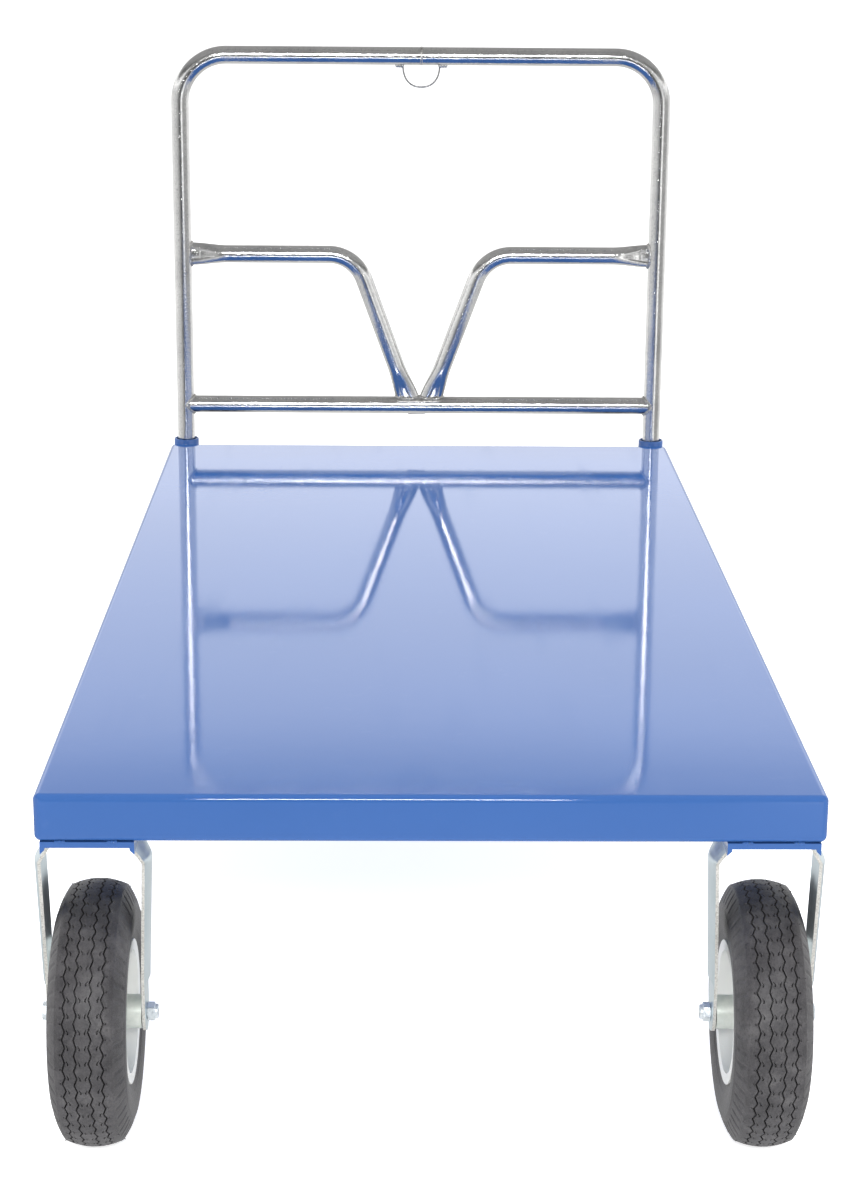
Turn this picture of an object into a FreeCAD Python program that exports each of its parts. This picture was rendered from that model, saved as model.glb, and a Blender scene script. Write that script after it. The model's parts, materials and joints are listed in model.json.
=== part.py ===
import FreeCAD, Part
import math
import os

# Platform cart: a folded steel deck on two fixed and two swivelling pneumatic
# wheels, with a welded tube handle that lifts out of two sockets.
# Row frame: X across, Y along the deck towards the handle, Z up, floor at Z = 0.
# All sizes are in millimetres.

V = FreeCAD.Vector
X_AXIS = V(1, 0, 0)
Y_AXIS = V(0, 1, 0)
Z_AXIS = V(0, 0, 1)
MID = "mid"               # marks the middle point of an arc in a turned profile

# ---- driving dimensions: deck ----
DECK_W = 765.0            # nominally 30 in, over the bends
DECK_L = 1530.0           # nominally 60 in, over the bends
DECK_TOP = 381.0          # height of the load surface above the floor
FLANGE = 48.0             # depth of the folded sides
SHEET = 2.5               # deck sheet thickness
LIP = 16.0                # width of the return lip under the sides
CORNER_R = 7.0            # vertical corners
TOP_R = 6.0               # bend between the top and the sides
BOTTOM_R = 6.5            # bend between the sides and the return lip
BOLSTER_T = 4.0           # cross channels that take the caster bolts
BOLSTER_LEN = 114.0       # along the deck, over the rear casters
HAT_DEPTH = 30.0          # stiffeners: hat channels under the sheet
HAT_HALF = 30.0
HAT_BRIM = 48.0           # half width over the brims
HAT_T = 2.5
HAT_PLACES = (0.27, 0.5, 0.73)   # shares of the deck's length

# ---- driving dimensions: wheels ----
TYRE_R = 133.0            # 10.5 in outside diameter
TYRE_HALF_W = 38.0        # half the section width
RIM_R = 72.0              # radius of the rim's flange
SEAT_R = 63.5             # bead seat
WELL_R = 52.0             # drop centre
RIM_SHEET = 2.2
HUB_R = 17.0
HUB_LEN = 88.9            # 3.5 in
BEARING_R = 12.5
BEARING_W = 12.0
RUN_CLEARANCE = 0.05      # radial clearance of the running fits
VALVE_R = 56.0            # distance of the valve from the axle
VALVE_ANGLE = 35.0
VALVE_STEM_R = 3.6
GROOVES = (-17.5, -6.0, 6.0, 17.5)   # tread grooves, across from the middle
GROOVE_DEPTH = 4.0

# ---- driving dimensions: forks and axles ----
FORK_T = 4.0              # fork sheet
LUG_OUT = 49.2            # outer face of the lugs, from the wheel's middle
LUG_R = 19.0              # round end of the lugs
LEG_OUT = 52.8            # outer face of a leg's edges under the shoulder
LEG_RISE_TOP = 4.8        # how far the arched leg stands out beyond its edges
LEG_RISE_LOW = 3.8
LEG_HALF_TOP = 21.0       # half widths of a leg: under the shoulder, at the step, at the lug
LEG_HALF_STEP = 20.0
LEG_HALF_LUG = 19.6
STEP_LEAN = 0.2           # share of the trail that a leg still has to go at the step
LUG_LEAN = 0.17           # and at the lug
STEP_ABOVE_AXLE = 40.0    # where the arched leg turns into the flat lug
STEP_LEN = 6.0
SHOULDER_DROP = 25.0      # height of the slanted shoulder
BRIDGE_HALF = 39.0        # half width of the fork's flat top
BEND_R = 9.0              # outer radius of the fork's bends
AXLE_R = 5.0              # M10
AXLE_HOLE_R = 5.25
SLEEVE_R = 7.0
HEX_AF = 17.0
HEAD_H = 6.4
NUT_H = 8.0
NUT_COLLAR_H = 2.8

# ---- driving dimensions: caster places ----
FRONT_X = 331.5           # middle of the front wheels
FRONT_SETBACK = 48.0      # front axle behind the deck's front face
REAR_X = 318.0            # kingpins
REAR_SETBACK = 74.0       # kingpins ahead of the deck's rear face
TRAIL = 38.0              # rear axle behind the kingpin
RISER_W = 91.0
RISER_L = 90.0
RISER_T = 6.0
RISER_LIP_T = 4.5
RISER_LIP_IN = 2.4        # depth of the riser's side lips, on their inner and outer faces
RISER_LIP_OUT = 6.8
RISER_INSET = 0.5         # front end of a riser behind the deck's front face
PLATE_T = 5.0             # swivel top plate
PLATE_HALF_X = 50.0
PLATE_HALF_Y = 56.0
PLATE_CORNER_R = 8.0
RACE_H = 3.8
RACE_HALF_W = 6.0
BALL_R = 3.5
BALL_RING_R = 27.0
BALL_COUNT = 18
KINGPIN_R = 7.0
KINGPIN_NUT_AF = 24.0
BOLT_R = 5.0              # M10 caster bolts
BOLT_HOLE_R = 5.4
FRONT_BOLT_DX = 24.0
FRONT_BOLT_DY = 11.0
REAR_BOLT_DX = 36.0
REAR_BOLT_DY = 40.0

# ---- driving dimensions: handle ----
TUBE_R = 13.35            # 26.7 mm tube
TUBE_WALL = 2.6
LEG_X = 360.0             # legs' distance from the middle
TOP_BAR_Z = 587.0         # heights above the deck's top
MID_BAR_Z = 291.0
LOW_BAR_Z = 59.0
HOOP_BEND = 70.0
BRACE_BEND = 57.0
BRACE_CORNER_X = 99.0     # where the brace's two straight lines would meet
BRACE_LEAN = 20.2         # degrees from the vertical
CRIMP_LEN = 54.0          # flattened length at each end of a brace
CRIMP_HALF_H = 17.3
CRIMP_HALF_T = 8.3
COLLAR = 0.4              # where the flattened end starts, it stands this far over the tube
SOCKET_R = 19.05
SOCKET_BORE_R = 16.0
SOCKET_ABOVE = 5.5        # socket rim above the deck's top
SOCKET_LEN = 90.0
STOP_T = 4.0
SOCKET_GAP = 0.2          # socket off the rear face, bridged by the welds
WIRE_R = 1.2
LOOP_EYE = ((-36.0, -0.2), (-27.0, -1.2), (-23.2, -8.0), (-21.5, -17.0), (-13.0, -28.0))
LOOP_DROP = 32.0          # from the tube's underside to the wire's lowest point

# ---- driving dimensions: welds ----
SOCKET_WELD_R = 5.0
SOCKET_WELD_DX = 9.5
STITCH_R = 2.6
STITCH_HALF = 6.0
STITCH_PLACES = (-26.0, 24.0)
SEAM_R = 1.2
TUBE_WELD_R = 2.6
BRACE_WELD_R = 2.8
BRACE_WELD_HALF = 6.0
FOOT_WELD_DX = 19.0       # outer toe of a brace's foot
LOOP_WELD_R = 3.4
LOOP_WELD_X = 33.0

# ---- places worked out from the driving dimensions ----
FRONT_Y = -0.5 * (FRONT_SETBACK + DECK_L - REAR_SETBACK + TRAIL)
REAR_Y = FRONT_Y + DECK_L
AXLE_Z = TYRE_R
FRONT_AXLE_Y = FRONT_Y + FRONT_SETBACK
KINGPIN_Y = REAR_Y - REAR_SETBACK
REAR_AXLE_Y = KINGPIN_Y + TRAIL
UNDERSIDE = DECK_TOP - SHEET
DECK_BOTTOM = DECK_TOP - FLANGE
RISER_BOTTOM = DECK_BOTTOM - RISER_T
PLATE_BOTTOM = DECK_BOTTOM - PLATE_T
BALL_Z = PLATE_BOTTOM - RACE_H - 0.35 - BALL_R   # balls' centres, 0.35 mm under the race
CROWN_TOP = BALL_Z - BALL_R - 0.05
FORK_SLOPE = math.atan2(SHOULDER_DROP, LEG_OUT - BRIDGE_HALF)
SOCKET_Y = REAR_Y + SOCKET_R + SOCKET_GAP
SOCKET_TOP = DECK_TOP + SOCKET_ABOVE
SOCKET_BOTTOM = SOCKET_TOP - SOCKET_LEN
LEG_BOTTOM = SOCKET_BOTTOM + STOP_T
LUG_IN = LUG_OUT - FORK_T
SIDES = (("left", -1.0), ("right", 1.0))

parts = {}


# ---- helpers ----
def box(x0, x1, y0, y1, z0, z1):
    return Part.makeBox(x1 - x0, y1 - y0, z1 - z0, V(x0, y0, z0))


def cylinder(radius, start, end):
    run = end.sub(start)
    return Part.makeCylinder(radius, run.Length, start, run)


def ring(outer, inner, start, end):
    return cylinder(outer, start, end).cut(cylinder(inner, start, end))


def polygon_prism(points, push):
    return Part.Face(Part.makePolygon(points + [points[0]])).extrude(push)


def hexagon(across_flats, start, push):
    """Hexagonal prism along push, its corners rounded over the last fifth."""
    radius = across_flats / math.sqrt(3.0)
    u, w = (X_AXIS, Y_AXIS) if abs(push.z) > 0 else (Y_AXIS, Z_AXIS)
    points = []
    for k in range(6):
        a = math.radians(60.0 * k)
        points.append(start.add(u * (radius * math.cos(a))).add(w * (radius * math.sin(a))))
    waist = start.add(push * 0.8)
    end = start.add(push)
    prism = polygon_prism(points, push)
    rounded = cylinder(2 * radius, start, waist).fuse(cylinder(radius * 0.955, waist, end))
    return prism.common(rounded).removeSplitter()


def one(shape):
    """The single solid of a boolean's result."""
    return shape.Solids[0] if len(shape.Solids) == 1 else shape


def bent_wire(points, radius):
    """Straight runs through the points, joined by tangent arcs of one radius."""
    edges = []
    start = points[0]
    for k in range(1, len(points) - 1):
        corner = points[k]
        back = points[k - 1].sub(corner).normalize()
        ahead = points[k + 1].sub(corner).normalize()
        half = 0.5 * back.getAngle(ahead)
        reach = radius / math.tan(half)
        a = corner.add(back * reach)
        b = corner.add(ahead * reach)
        bisector = back.add(ahead).normalize()
        middle = corner.add(bisector * (radius / math.sin(half) - radius))
        edges.append(Part.LineSegment(start, a).toShape())
        edges.append(Part.Arc(a, middle, b).toShape())
        start = b
    edges.append(Part.LineSegment(start, points[-1]).toShape())
    return Part.Wire(edges)


def swept(wire, radius):
    """A round bar along a wire."""
    first = wire.Edges[0]
    start = first.valueAt(first.FirstParameter)
    circle = Part.Circle(start, first.tangentAt(first.FirstParameter), radius)
    profile = Part.Wire(circle.toShape())
    return wire.makePipeShell([profile], True, False)


def tube(wire, radius, wall):
    return swept(wire, radius).cut(swept(wire, radius - wall))


def revolved(profile, centre):
    """Solid of revolution about X. The closed profile holds (radius, along X); a third
    entry, MID, marks the middle point of an arc between its two neighbours."""
    at = [V(centre.x + p[1], centre.y, centre.z + p[0]) for p in profile]
    count = len(at)
    edges = []
    k = 0
    while k < count:
        following = (k + 1) % count
        if len(profile[following]) == 3:
            edges.append(Part.Arc(at[k], at[following], at[(k + 2) % count]).toShape())
            k += 2
        else:
            edges.append(Part.LineSegment(at[k], at[following]).toShape())
            k += 1
    return Part.Face(Part.Wire(edges)).revolve(centre, X_AXIS, 360.0)


def other_side(profile):
    """A profile's mirror image across the wheel's middle, in reverse order."""
    return [(p[0], -p[1]) + tuple(p[2:]) for p in reversed(profile)]


def mirrored(shape, side):
    """The shape as drawn for the right side, or its mirror image for the left."""
    if side > 0:
        return shape
    return shape.mirror(V(0, 0, 0), X_AXIS)


# ---- deck ----
def rounded_box(inset, z0, z1, corner, top, bottom):
    shape = box(-DECK_W / 2 + inset, DECK_W / 2 - inset, FRONT_Y + inset, REAR_Y - inset, z0, z1)
    upright = [e for e in shape.Edges if abs(e.tangentAt(e.FirstParameter).z) > 0.9]
    shape = shape.makeFillet(corner, upright)
    high = [e for e in shape.Edges if e.BoundBox.ZMin > z1 - 0.01]
    shape = shape.makeFillet(top, high)
    low = [e for e in shape.Edges if e.BoundBox.ZMax < z0 + 0.01]
    return shape.makeFillet(bottom, low)


def deck_pan():
    outer = rounded_box(0.0, DECK_BOTTOM, DECK_TOP, CORNER_R, TOP_R, BOTTOM_R)
    radii = [r - SHEET for r in (CORNER_R, TOP_R, BOTTOM_R)]
    inner = rounded_box(SHEET, DECK_BOTTOM + SHEET, UNDERSIDE, *radii)
    mouth = box(-DECK_W / 2 + LIP, DECK_W / 2 - LIP, FRONT_Y + LIP, REAR_Y - LIP,
                DECK_BOTTOM - 1, DECK_BOTTOM + SHEET + 1)
    return one(outer.cut(inner).cut(mouth))


def bolster(y0, y1, holes):
    """Cross channel, open upwards, whose web takes the caster bolts."""
    half = DECK_W / 2 - LIP - 1.0
    outer = box(-half, half, y0, y1, DECK_BOTTOM, UNDERSIDE)
    floor = DECK_BOTTOM + BOLSTER_T
    inner = box(-half - 1, half + 1, y0 + BOLSTER_T, y1 - BOLSTER_T, floor, UNDERSIDE + 1)
    return one(drilled(outer.cut(inner), holes))


def drilled(shape, holes):
    for x, y, radius in holes:
        shape = shape.cut(cylinder(radius, V(x, y, DECK_BOTTOM - 60), V(x, y, DECK_BOTTOM + 20)))
    return shape


def stiffener(y):
    """Hat channel welded under the deck sheet."""
    half = DECK_W / 2 - LIP - 1.0
    hat = [(-HAT_BRIM, 0), (HAT_BRIM, 0), (HAT_BRIM, -HAT_T), (HAT_HALF, -HAT_T), (HAT_HALF, -HAT_DEPTH),
           (-HAT_HALF, -HAT_DEPTH), (-HAT_HALF, -HAT_T), (-HAT_BRIM, -HAT_T)]
    inside = HAT_HALF - HAT_T
    hollow = [(-inside, 0), (inside, 0), (inside, HAT_T - HAT_DEPTH), (-inside, HAT_T - HAT_DEPTH)]
    solids = []
    for outline in (hat, hollow):
        points = [V(-half, y + a, UNDERSIDE + b) for a, b in outline]
        solids.append(polygon_prism(points, V(2 * half, 0, 0)))
    return one(solids[0].cut(solids[1]))


def caster_riser(side):
    """Inverted channel between the deck and a front fork."""
    half = RISER_W / 2
    lip_in = half - RISER_LIP_T
    start = FRONT_Y + RISER_INSET
    shape = box(FRONT_X - half, FRONT_X + half, start, FRONT_Y + RISER_L, RISER_BOTTOM, DECK_BOTTOM)
    profile = [(lip_in, 0.0), (lip_in, -RISER_LIP_IN), (half, -RISER_LIP_OUT), (half, 0.0)]
    for s in (-1, 1):
        points = [V(FRONT_X + s * u, start, RISER_BOTTOM + z) for u, z in profile]
        shape = shape.fuse(polygon_prism(points, V(0, RISER_L - RISER_INSET, 0)))
    holes = [(hx, hy, BOLT_HOLE_R) for hx, hy in front_bolt_places()]
    return mirrored(one(drilled(shape.removeSplitter(), holes)), side)


def corners_of(x, y, dx, dy):
    return [(x + i * dx, y + j * dy) for i in (-1, 1) for j in (-1, 1)]


def front_bolt_places():
    return corners_of(FRONT_X, FRONT_AXLE_Y, FRONT_BOLT_DX, FRONT_BOLT_DY)


def rear_bolt_places():
    return corners_of(REAR_X, KINGPIN_Y, REAR_BOLT_DX, REAR_BOLT_DY)


def both_sides(places, radius):
    return [(s * x, y, radius) for x, y in places for s in (-1, 1)]


# ---- sockets and the deck's welds ----
def handle_socket(side):
    low = V(side * LEG_X, SOCKET_Y, SOCKET_BOTTOM)
    return ring(SOCKET_R, SOCKET_BORE_R, low, low.add(V(0, 0, SOCKET_LEN)))


def socket_stop(side):
    low = V(side * LEG_X, SOCKET_Y, SOCKET_BOTTOM)
    return ring(SOCKET_BORE_R, 4.0, low, low.add(V(0, 0, STOP_T)))


def socket_welds():
    """Two upright fillets beside each socket, from the rear face to the socket."""
    behind = box(-DECK_W, DECK_W, REAR_Y - 20, REAR_Y, 0, 2 * DECK_TOP)
    beads = []
    for side in (-1, 1):
        low = V(side * LEG_X, SOCKET_Y, SOCKET_BOTTOM)
        barrel = cylinder(SOCKET_R, low, low.add(V(0, 0, SOCKET_LEN)))
        for s in (-1, 1):
            foot = V(side * LEG_X + s * SOCKET_WELD_DX, REAR_Y + 2.0, DECK_BOTTOM + 8)
            rod = cylinder(SOCKET_WELD_R, foot, V(foot.x, foot.y, DECK_TOP - 6))
            beads.append(one(rod.cut(behind).cut(barrel)))
    return beads


def riser_welds():
    """Short stitch welds in the groove above the front edge of each riser."""
    beads = []
    for word, side in SIDES:
        for place in STITCH_PLACES:
            middle = V(side * FRONT_X + place, FRONT_Y + 1.6, DECK_BOTTOM - 0.4)
            half = V(STITCH_HALF, 0, 0)
            rod = cylinder(STITCH_R, middle.sub(half), middle.add(half))
            beads.append(one(rod.cut(parts["deck_pan"]).cut(parts["caster_riser_" + word])))
    return beads


# ---- forks ----
def leg_section(u, z, y, half, rise, tilt, thick):
    """Closed outline across a fork leg. (u, z) is the outer face at the edges, tilt is
    the sheet's angle from the vertical, and rise is how far its middle stands out."""
    a = math.radians(tilt)
    out = V(math.cos(a), 0, math.sin(a))
    edge_low = V(u, y - half, z)
    edge_high = V(u, y + half, z)
    crown = V(u, y, z).add(out * rise)
    inward = out * -thick
    outer = Part.Arc(edge_low, crown, edge_high).toShape()
    inner = Part.Arc(edge_high.add(inward), crown.add(inward), edge_low.add(inward)).toShape()
    close_high = Part.LineSegment(edge_high, edge_high.add(inward)).toShape()
    close_low = Part.LineSegment(edge_low.add(inward), edge_low).toShape()
    return Part.Wire([outer, close_high, inner, close_low])


def fork_leg_sections(top, axle_y, top_y, half_top):
    """Outlines from the bridge's edge down to the flat lug, for the leg on +X."""
    flat = 0.05
    steps = 4
    slope = math.degrees(FORK_SLOPE)
    rows = []
    # upper bend, from the flat bridge to the shoulder
    edge = bridge_edge()
    for k in range(steps + 1):
        turn = slope * k / steps
        a = math.radians(turn)
        place = (edge + BEND_R * math.sin(a), top - BEND_R * (1 - math.cos(a)))
        rows.append(place + (top_y, half_top, flat + 0.6 * k / steps, 90.0 - turn))
    # lower bend, from the shoulder to the upright leg
    turn_left = 90.0 - slope
    centre_u = LEG_OUT - BEND_R
    centre_z = top - SHOULDER_DROP - BEND_R * math.tan(math.radians(turn_left) / 2)
    for k in range(steps + 1):
        turn = slope + turn_left * k / steps
        a = math.radians(turn)
        place = (centre_u + BEND_R * math.sin(a), centre_z + BEND_R * math.cos(a))
        half = LEG_HALF_TOP + (half_top - LEG_HALF_TOP) * 0.25 * (1 - k / steps)
        rows.append(place + (top_y, half, LEG_RISE_TOP * (0.7 + 0.3 * k / steps), 90.0 - turn))
    step_z = AXLE_Z + STEP_ABOVE_AXLE
    trail = top_y - axle_y
    rows.append((LUG_OUT, step_z, axle_y + trail * STEP_LEAN, LEG_HALF_STEP, LEG_RISE_LOW, 0.0))
    rows.append((LUG_OUT, step_z - STEP_LEN, axle_y + trail * LUG_LEAN, LEG_HALF_LUG, flat, 0.0))
    return [leg_section(*row, FORK_T) for row in rows]


def bridge_edge():
    """Half width of the fork's flat top, up to where its upper bends begin."""
    return BRIDGE_HALF - BEND_R * math.tan(FORK_SLOPE / 2)


def lug(axle_y, top_y):
    """Flat lower end of a fork leg, with a round end about the axle."""
    z = AXLE_Z + STEP_ABOVE_AXLE - STEP_LEN
    y = axle_y + (top_y - axle_y) * LUG_LEAN
    outline = [V(LUG_IN, y - LEG_HALF_LUG, z), V(LUG_IN, axle_y - LUG_R, AXLE_Z),
               V(LUG_IN, axle_y + LUG_R, AXLE_Z), V(LUG_IN, y + LEG_HALF_LUG, z)]
    plate = polygon_prism(outline, V(FORK_T, 0, 0))
    disc = cylinder(LUG_R, V(LUG_IN, axle_y, AXLE_Z), V(LUG_OUT, axle_y, AXLE_Z))
    return plate.fuse(disc)


def fork(x, axle_y, top_y, top, half_top, holes):
    """Pressed fork: flat bridge, two slanted shoulders, arched legs and flat lugs."""
    sections = fork_leg_sections(top, axle_y, top_y, half_top)
    leg = Part.makeLoft(sections, True, True).fuse(lug(axle_y, top_y))
    edge = bridge_edge()
    bridge = box(-edge, edge, top_y - half_top, top_y + half_top, top - FORK_T, top)
    both = leg.fuse(leg.mirror(V(0, 0, 0), X_AXIS)).fuse(bridge)
    both = both.cut(cylinder(AXLE_HOLE_R, V(-80, axle_y, AXLE_Z), V(80, axle_y, AXLE_Z)))
    both.translate(V(x, 0, 0))
    for hx, hy, radius in holes:
        both = both.cut(cylinder(radius, V(hx, hy, top - 40), V(hx, hy, top + 1)))
    return one(both)


def axle_bolt(x, y, side):
    """Hex bolt through both lugs; its head is on the outboard side."""
    out = V(side, 0, 0)
    centre = V(x, y, AXLE_Z)
    head = hexagon(HEX_AF, centre.add(out * LUG_OUT), out * HEAD_H)
    tail = -(LUG_OUT + NUT_H + NUT_COLLAR_H - 1.0)
    shank = cylinder(AXLE_R, centre.add(out * tail), centre.add(out * (LUG_OUT + 1.0)))
    return one(head.fuse(shank).removeSplitter())


def axle_nut(x, y, side):
    """Locking nut on the inboard side."""
    inward = V(-side, 0, 0)
    face = V(x, y, AXLE_Z).add(inward * LUG_OUT)
    body = hexagon(HEX_AF, face, inward * NUT_H)
    collar_end = face.add(inward * (NUT_H + NUT_COLLAR_H))
    collar = cylinder(HEX_AF * 0.43, face.add(inward * (NUT_H - 0.5)), collar_end)
    hole = cylinder(AXLE_R, face.sub(inward), face.add(inward * 20))
    return one(body.fuse(collar).cut(hole))


def axle_sleeve(x, y):
    return ring(SLEEVE_R, AXLE_R + 0.1, V(x - LUG_IN, y, AXLE_Z), V(x + LUG_IN, y, AXLE_Z))


# ---- swivel casters ----
def top_plate(side):
    """Bolted plate with the upper ball race under it."""
    x = side * REAR_X
    centre = V(x, KINGPIN_Y, PLATE_BOTTOM)
    plate = box(x - PLATE_HALF_X, x + PLATE_HALF_X, KINGPIN_Y - PLATE_HALF_Y, KINGPIN_Y + PLATE_HALF_Y,
                PLATE_BOTTOM, DECK_BOTTOM)
    upright = [e for e in plate.Edges if abs(e.tangentAt(e.FirstParameter).z) > 0.9]
    plate = plate.makeFillet(PLATE_CORNER_R, upright)
    low = centre.sub(V(0, 0, RACE_H))
    race = ring(BALL_RING_R + RACE_HALF_W, BALL_RING_R - RACE_HALF_W, low, centre)
    hole = cylinder(KINGPIN_R, low, V(x, KINGPIN_Y, DECK_TOP))
    plate = plate.fuse(race).cut(hole)
    return one(drilled(plate, both_sides(rear_bolt_places(), BOLT_HOLE_R)).removeSplitter())


def kingpin(side):
    """Collared pin fixed in the top plate; the fork turns on it."""
    at = V(side * REAR_X, KINGPIN_Y, 0)
    foot = at.add(V(0, 0, CROWN_TOP - FORK_T - 13))
    shank = cylinder(KINGPIN_R, foot, at.add(V(0, 0, DECK_BOTTOM - 0.4)))
    under = at.add(V(0, 0, PLATE_BOTTOM))
    collar = cylinder(KINGPIN_R + 4, under.sub(V(0, 0, 3)), under)
    return one(shank.fuse(collar).removeSplitter())


def kingpin_nut(side):
    """Washer and nut that hold the fork up on the kingpin."""
    start = V(side * REAR_X, KINGPIN_Y, CROWN_TOP - FORK_T - 0.4)
    below = start.sub(V(0, 0, 2.0))
    nut = hexagon(KINGPIN_NUT_AF, below, V(0, 0, -9.0)).fuse(cylinder(15.0, below, start))
    return one(nut.cut(cylinder(KINGPIN_R, start.sub(V(0, 0, 20)), start.add(Z_AXIS))))


def bearing_balls(side):
    balls = []
    for k in range(BALL_COUNT):
        a = 2 * math.pi * k / BALL_COUNT
        off = V(BALL_RING_R * math.cos(a), BALL_RING_R * math.sin(a), BALL_Z)
        balls.append(Part.makeSphere(BALL_R, V(side * REAR_X, KINGPIN_Y, 0).add(off)))
    return balls


# ---- bolts that hold the casters ----
def hex_screw(x, y, seat, length):
    """Screw put in from below, its head under the seat."""
    head = hexagon(HEX_AF, V(x, y, seat), V(0, 0, -HEAD_H))
    shank = cylinder(BOLT_R, V(x, y, seat - 1), V(x, y, seat + length))
    return one(head.fuse(shank).removeSplitter())


def hex_nut(x, y, seat):
    nut = hexagon(HEX_AF, V(x, y, seat), V(0, 0, NUT_H))
    return one(nut.cut(cylinder(BOLT_R, V(x, y, seat - 1), V(x, y, seat + 20))))


# ---- wheels ----
def tyre(centre):
    """Hollow ribbed tyre, from the tread's edge round the bead to the inner crown."""
    half = [(127.0, 27.0), (112.5, 35.4, MID), (97.0, TYRE_HALF_W), (85.0, 37.0, MID), (73.5, 33.0),
            (72.0, 31.6), (SEAT_R + 0.1, 31.6), (SEAT_R + 0.1, 23.5), (72.0, 24.5),
            (85.0, 29.0), (98.0, 31.0, MID), (111.0, 28.5), (120.5, 21.0)]
    body = revolved(half + [(124.6, 0.0, MID)] + other_side(half) + [(TYRE_R, 0.0, MID)], centre)
    for u in GROOVES:
        top = TYRE_R + 0.6 - (u * u) * 6.0 / 729.0
        low = top - GROOVE_DEPTH
        body = body.cut(revolved([(top, u - 1.6), (top, u + 1.6), (low, u + 0.8), (low, u - 0.8)], centre))
    return one(body)


def rim(centre, side):
    """Drop-centre rim with its disc, as one weldment."""
    t = RIM_SHEET
    half = [(WELL_R, 10.0), (SEAT_R, 17.0), (SEAT_R, 31.7), (RIM_R, 31.7), (RIM_R, 34.6), (SEAT_R - t, 33.9),
            (SEAT_R - t, 18.3), (WELL_R - t, 11.3)]
    shell = revolved(half + other_side(half), centre)
    disc = revolved([(WELL_R - 1, -1.5), (WELL_R - 1, 1.5), (HUB_R, 1.5), (HUB_R, -1.5)], centre)
    start, end = valve_line(centre, side, 5.0, 40.0)
    return one(shell.fuse(disc).cut(cylinder(VALVE_STEM_R, start, end)).removeSplitter())


def valve_line(centre, side, u0, u1):
    """Two points on the valve's axis, u0 and u1 outboard of the wheel's middle."""
    a = math.radians(VALVE_ANGLE)
    off = V(0, -VALVE_R * math.sin(a), -VALVE_R * math.cos(a))
    return centre.add(off).add(V(side * u0, 0, 0)), centre.add(off).add(V(side * u1, 0, 0))


def valve(centre, side):
    start, end = valve_line(centre, side, 10.5, 28.0)
    cap_start, cap_end = valve_line(centre, side, 26.0, 34.0)
    stem = cylinder(VALVE_STEM_R, start, end)
    return one(stem.fuse(cylinder(VALVE_STEM_R + 0.7, cap_start, cap_end)).removeSplitter())


def hub(centre):
    half = V(HUB_LEN / 2, 0, 0)
    return ring(HUB_R, BEARING_R, centre.sub(half), centre.add(half))


def bearings(centre):
    pair = []
    for s in (-1, 1):
        end = centre.add(V(s * HUB_LEN / 2, 0, 0))
        pair.append(ring(BEARING_R, SLEEVE_R + RUN_CLEARANCE, end.sub(V(s * BEARING_W, 0, 0)), end))
    return pair


# ---- handle ----
def handle_point(x, z):
    """A point in the handle's plane, z above the deck's top."""
    return V(x, SOCKET_Y, DECK_TOP + z)


def hoop_half(side):
    points = [V(side * LEG_X, SOCKET_Y, LEG_BOTTOM), handle_point(side * LEG_X, TOP_BAR_Z),
              handle_point(0, TOP_BAR_Z)]
    return one(tube(bent_wire(points, HOOP_BEND), TUBE_R, TUBE_WALL))


def leg_bars():
    """The two legs as solid bars, for cutting other tubes to them."""
    bars = []
    for s in (-1, 1):
        top = handle_point(s * LEG_X, TOP_BAR_Z - HOOP_BEND)
        bars.append(cylinder(TUBE_R, V(s * LEG_X, SOCKET_Y, LEG_BOTTOM), top))
    return bars


def level_bar(radius, half, z):
    return cylinder(radius, handle_point(-half, z), handle_point(half, z))


def lower_crossbar():
    shape = level_bar(TUBE_R, LEG_X, LOW_BAR_Z).cut(level_bar(TUBE_R - TUBE_WALL, LEG_X, LOW_BAR_Z))
    for leg in leg_bars():
        shape = shape.cut(leg)
    return one(shape)


def flattened(start, along, wall, reach):
    """Loft from a collar just over the round tube to its flattened end at start."""
    across = along.cross(Y_AXIS)
    wide = TUBE_R + COLLAR
    rows = []
    for s, grow in ((0.0, 1.0), (0.4, 0.66), (0.72, 0.22), (0.92, 0.02), (reach, 0.0)):
        high = wide + (CRIMP_HALF_H - wide) * grow - wall
        thick = wide - (wide - CRIMP_HALF_T) * grow - wall - 0.01
        at = start.add(along * (s * CRIMP_LEN))
        ellipse = Part.Ellipse(at.add(across * high), at.add(Y_AXIS * thick), at)
        rows.append(Part.Wire(ellipse.toShape()))
    return Part.makeLoft(rows, True, False)


def brace_line(side):
    """Three points of a brace's centre line: on the leg, at the corner, on the low bar."""
    lean = math.tan(math.radians(BRACE_LEAN))
    foot_x = BRACE_CORNER_X - (MID_BAR_Z - LOW_BAR_Z) * lean
    return [handle_point(side * LEG_X, MID_BAR_Z), handle_point(side * BRACE_CORNER_X, MID_BAR_Z),
            handle_point(side * foot_x, LOW_BAR_Z)]


def v_brace(side):
    """Bent tube with flattened ends, from a leg to the lower crossbar."""
    a, corner, b = brace_line(side)
    in_a = corner.sub(a).normalize()
    in_b = corner.sub(b).normalize()
    start = a.add(in_a * (TUBE_R - 4.0))
    end = b.add(in_b * (TUBE_R - 7.0))
    inset = 0.93 * CRIMP_LEN
    middle = bent_wire([start.add(in_a * inset), corner, end.add(in_b * inset)], BRACE_BEND)
    shells = []
    for wall, reach in ((0.0, 1.0), (TUBE_WALL, 0.97)):
        ends = [flattened(start, in_a, wall, reach), flattened(end, in_b, wall, reach)]
        shells.append(swept(middle, TUBE_R - wall).fuse(ends))
    shape = shells[0].cut(shells[1])
    own_half = mirrored(box(0, DECK_W, 0, 2 * DECK_L, 0, 2 * DECK_TOP), side)
    shape = shape.common(own_half).cut(level_bar(TUBE_R, LEG_X, LOW_BAR_Z))
    for leg in leg_bars():
        shape = shape.cut(leg)
    return one(shape)


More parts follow.
